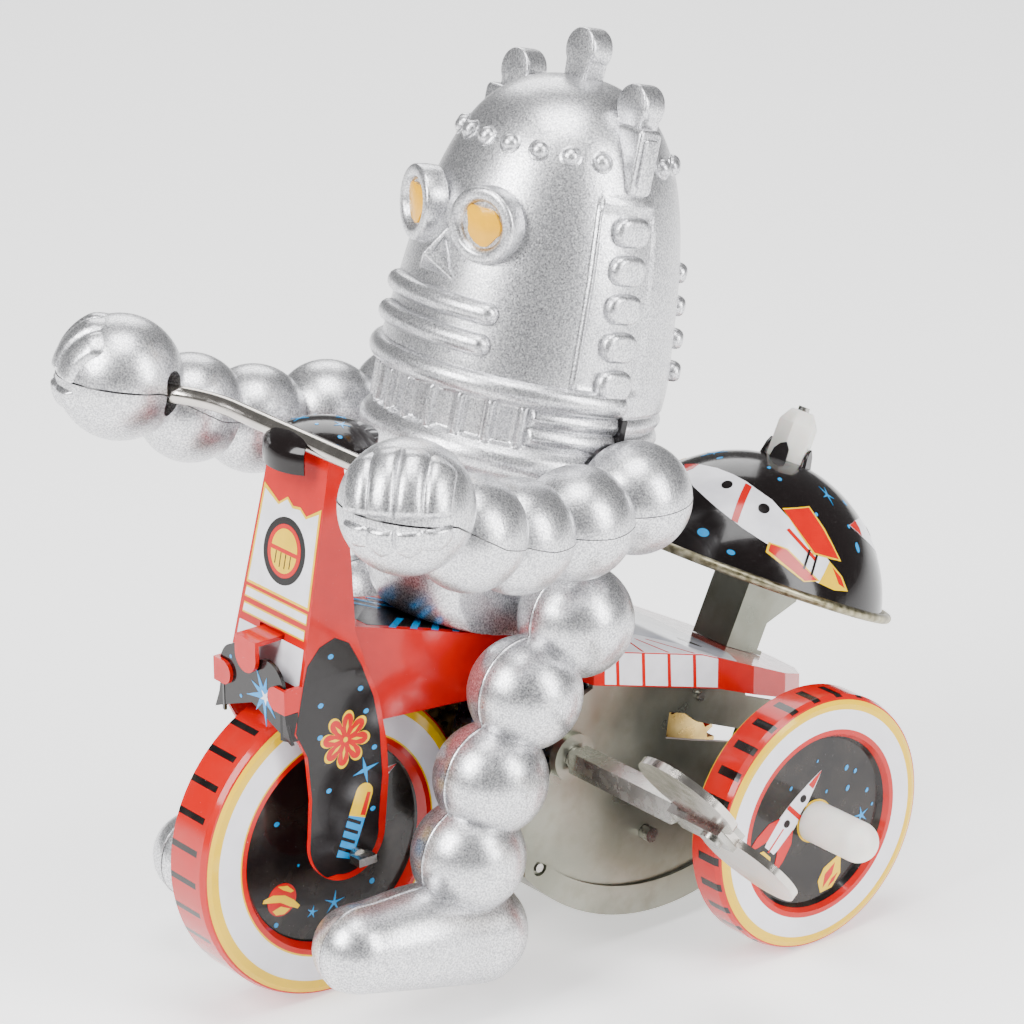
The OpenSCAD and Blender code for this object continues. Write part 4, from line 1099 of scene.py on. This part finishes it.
def bell_tab(i):
    """One of four tin ears cut from the dome and bent up round the post."""
    outline = xy("-1.3,0 1.3,0 1,2.2 0.3,3.1 -0.5,2.7 -1.1,1.8")
    place = spin("Z", 25 + 90 * i) @ shift(0, -3.15, 15.3) @ spin("X", 80)
    return moved(rounded(outline, 0.45, 0.12, 1), place)


def bell_post():
    """Six-sided plastic post with a sloped top."""
    profile = ((0.7, 15.0), (2.7, 15.0), (2.85, 15.2), (2.85, 21.0), (2.72, 21.35), (1.7, 22.9), (1.5, 23.02),
        (0.7, 23.02))
    corner, beside, flat, steps = 1, 0.93, 0.895, 24
    reach = [(TAU * i / steps, corner if i % 4 == 0 else beside if i % 2 else flat) for i in range(steps)]
    return skin([[(r * wide * cos(a), r * wide * sin(a), z) for a, wide in reach] for r, z in profile])


def corner_wrap():
    """Where the black front plate turns the corner onto the left blade."""
    x, y = 6.0, -64.85
    outline = arc(x, y, 1.62, -90, 0, 8) + arc(x, y, 1.25, 0, -90, 8)
    return skin([[(x, y, z) for x, y in outline] for z in (38.7, 39.6, 40.6, 41.6, 42.5)])


def cap_hood():
    """The front of the cap, turned down over the bar."""
    outside = xy("7.25,71.9 7.3,73.2 7.2,74.4 6.7,75.3 5.6,75.95 3.6,76.45")
    inside = xy("3.6,76.1 5.4,75.6 6.4,74.95 6.85,74.2 6.95,73.2 6.9,71.9")
    return skin([[(r * cos(a), COLUMN_Y + r * sin(a), z) for r, z in outside + inside]
            for a in sweep(-127, -53, 12)])


piece("bell_tabs", join(*[bell_tab(i) for i in range(4)]), BLACK_TIN, "bell", BELL)
piece("bell_post", bell_post(), CAP, "bell", BELL, ["bell_bush"])
wrap = corner_wrap()
piece("plate_corners", join(wrap, mirrored(wrap)), BLACK_TIN, "cycle")
piece("cap_hood", cap_hood(), BLACK_TIN, "cycle")


def shoe_rows(steps=40, least=0.0004):
    """Rings of the shoe along its length: distance along, height above the axis, radius."""
    (y0, s0, r0), (y1, s1, r1) = SHOE
    length = hypot(y1 - y0, s1 - s0)
    rows = []
    for i in range(steps + 1):
        along = (length + r0 + r1) / 2 * (1 - cos(pi * i / steps)) - r0
        mid = max(0.0, min(1.0, along / length))
        if along < 0:
            r = sqrt(max(r0 * r0 - along * along, least))
        elif along > length:
            r = sqrt(max(r1 * r1 - (along - length) ** 2, least))
        else:
            r = r0 + (r1 - r0) * mid
        swell = 0.75 * sin(pi * mid) ** 2
        rows.append((along, 0.5 * swell, r + 0.1 + 0.5 * swell))
    return rows


ROWS = shoe_rows()
SHOE_SIDES = 40
SHOE_TILT = atan2(SHOE[1][1] - SHOE[0][1], SHOE[1][0] - SHOE[0][0])
SHOE_PLACE = RIDER @ shift(LEG_X, SHOE[0][0], SHOE[0][1]) @ Matrix.Rotation(SHOE_TILT, 4, "X")
shoe = moved(skin([[(r * c, along, lift + r * s) for c, s in circle(SHOE_SIDES)] for along, lift, r in ROWS]),
    SHOE_PLACE)
edge = [(0.0, along, lift + r) for along, lift, r in ROWS]
edge += [(0.0, along, lift - r) for along, lift, r in ROWS[-2:0:-1]]
ridge = moved(tube(edge, 0.12, LINE_SIDES, closed=True), SHOE_PLACE)
for body, flip in (("leg_left", False), ("leg_right", True)):
    on_limb(body + "_shoe", mirrored(shoe) if flip else shoe, body)
    on_limb(body + "_shoe_ridge", mirrored(ridge) if flip else ridge, body)


# ---- floor, light and camera ----

def link(obj):
    bpy.context.scene.collection.objects.link(obj)
    return obj


FLOOR_HALF_M = 4
corners = [(x * FLOOR_HALF_M, y * FLOOR_HALF_M, 0) for x, y in ((-1, -1), (1, -1), (1, 1), (-1, 1))]
floor_mesh = bpy.data.meshes.new("floor")
floor_mesh.from_pydata(corners, [], [[0, 1, 2, 3]])
ground = link(bpy.data.objects.new("floor", floor_mesh))
floor_paint = bpy.data.materials.new("floor_white")
floor_paint.use_nodes = True
FLOOR_LOOK = {"Base Color": (0.93, 0.93, 0.93, 1), "Roughness": 0.8, "Emission Color": (1, 1, 1, 1),
    "Emission Strength": 0.8}
for socket_name, value in FLOOR_LOOK.items():
    floor_paint.node_tree.nodes["Principled BSDF"].inputs[socket_name].default_value = value
floor_mesh.materials.append(floor_paint)

world = bpy.data.worlds.new("studio")
world.use_nodes = True
sky = world.node_tree.nodes["Background"].inputs
sky["Color"].default_value = (1.0, 1.0, 1.0, 1)
sky["Strength"].default_value = 0.2
bpy.context.scene.world = world

AIM = Vector((0, -0.015, 0.055))


def way_to(azimuth, elevation):
    """Unit vector from the toy towards a direction, with both angles in radians."""
    return Vector((sin(azimuth) * cos(elevation), -cos(azimuth) * cos(elevation),
            sin(elevation)))


def softbox(name, direction, distance, width, height, watts):
    """A soft lamp, its direction in degrees and its lengths in metres."""
    way = way_to(*(radians(a) for a in direction))
    lamp = bpy.data.lights.new(name, "AREA")
    lamp.shape = "RECTANGLE"
    lamp.size, lamp.size_y, lamp.energy = width, height, watts
    obj = link(bpy.data.objects.new(name, lamp))
    obj.location = AIM + way * distance
    obj.rotation_euler = way.to_track_quat("Z", "Y").to_euler()


softbox("key_left", (0, 38), 0.6, 0.24, 0.36, 5.2)
softbox("fill_right", (108, 26), 0.6, 0.2, 0.46, 4.2)
softbox("top", (60, 82), 0.65, 0.36, 0.36, 4.4)
softbox("back", (235, 35), 0.75, 0.4, 0.4, 2.6)

AZ, EL, ROLL = (radians(a) for a in (51.3, 20.9, -0.2))
CAMERA_AWAY, CAMERA_ASIDE, CAMERA_RAISED = 575.0, -19.435, 47.84
back_way = way_to(AZ, EL)
right_way = (-back_way).cross(Vector((0, 0, 1))).normalized()
up_way = right_way.cross(-back_way)
right_way, up_way = (cos(ROLL) * right_way + sin(ROLL) * up_way,
    cos(ROLL) * up_way - sin(ROLL) * right_way)
camera_data = bpy.data.cameras.new("camera")
camera_data.sensor_width = 36
camera_data.lens = 146.6
camera_data.clip_start = 0.01
place = Matrix((right_way, up_way, back_way)).transposed().to_4x4()
place.translation = MM * (back_way * CAMERA_AWAY + right_way * CAMERA_ASIDE + up_way * CAMERA_RAISED)
camera = link(bpy.data.objects.new("camera", camera_data))
camera.matrix_world = place
bpy.context.scene.camera = camera
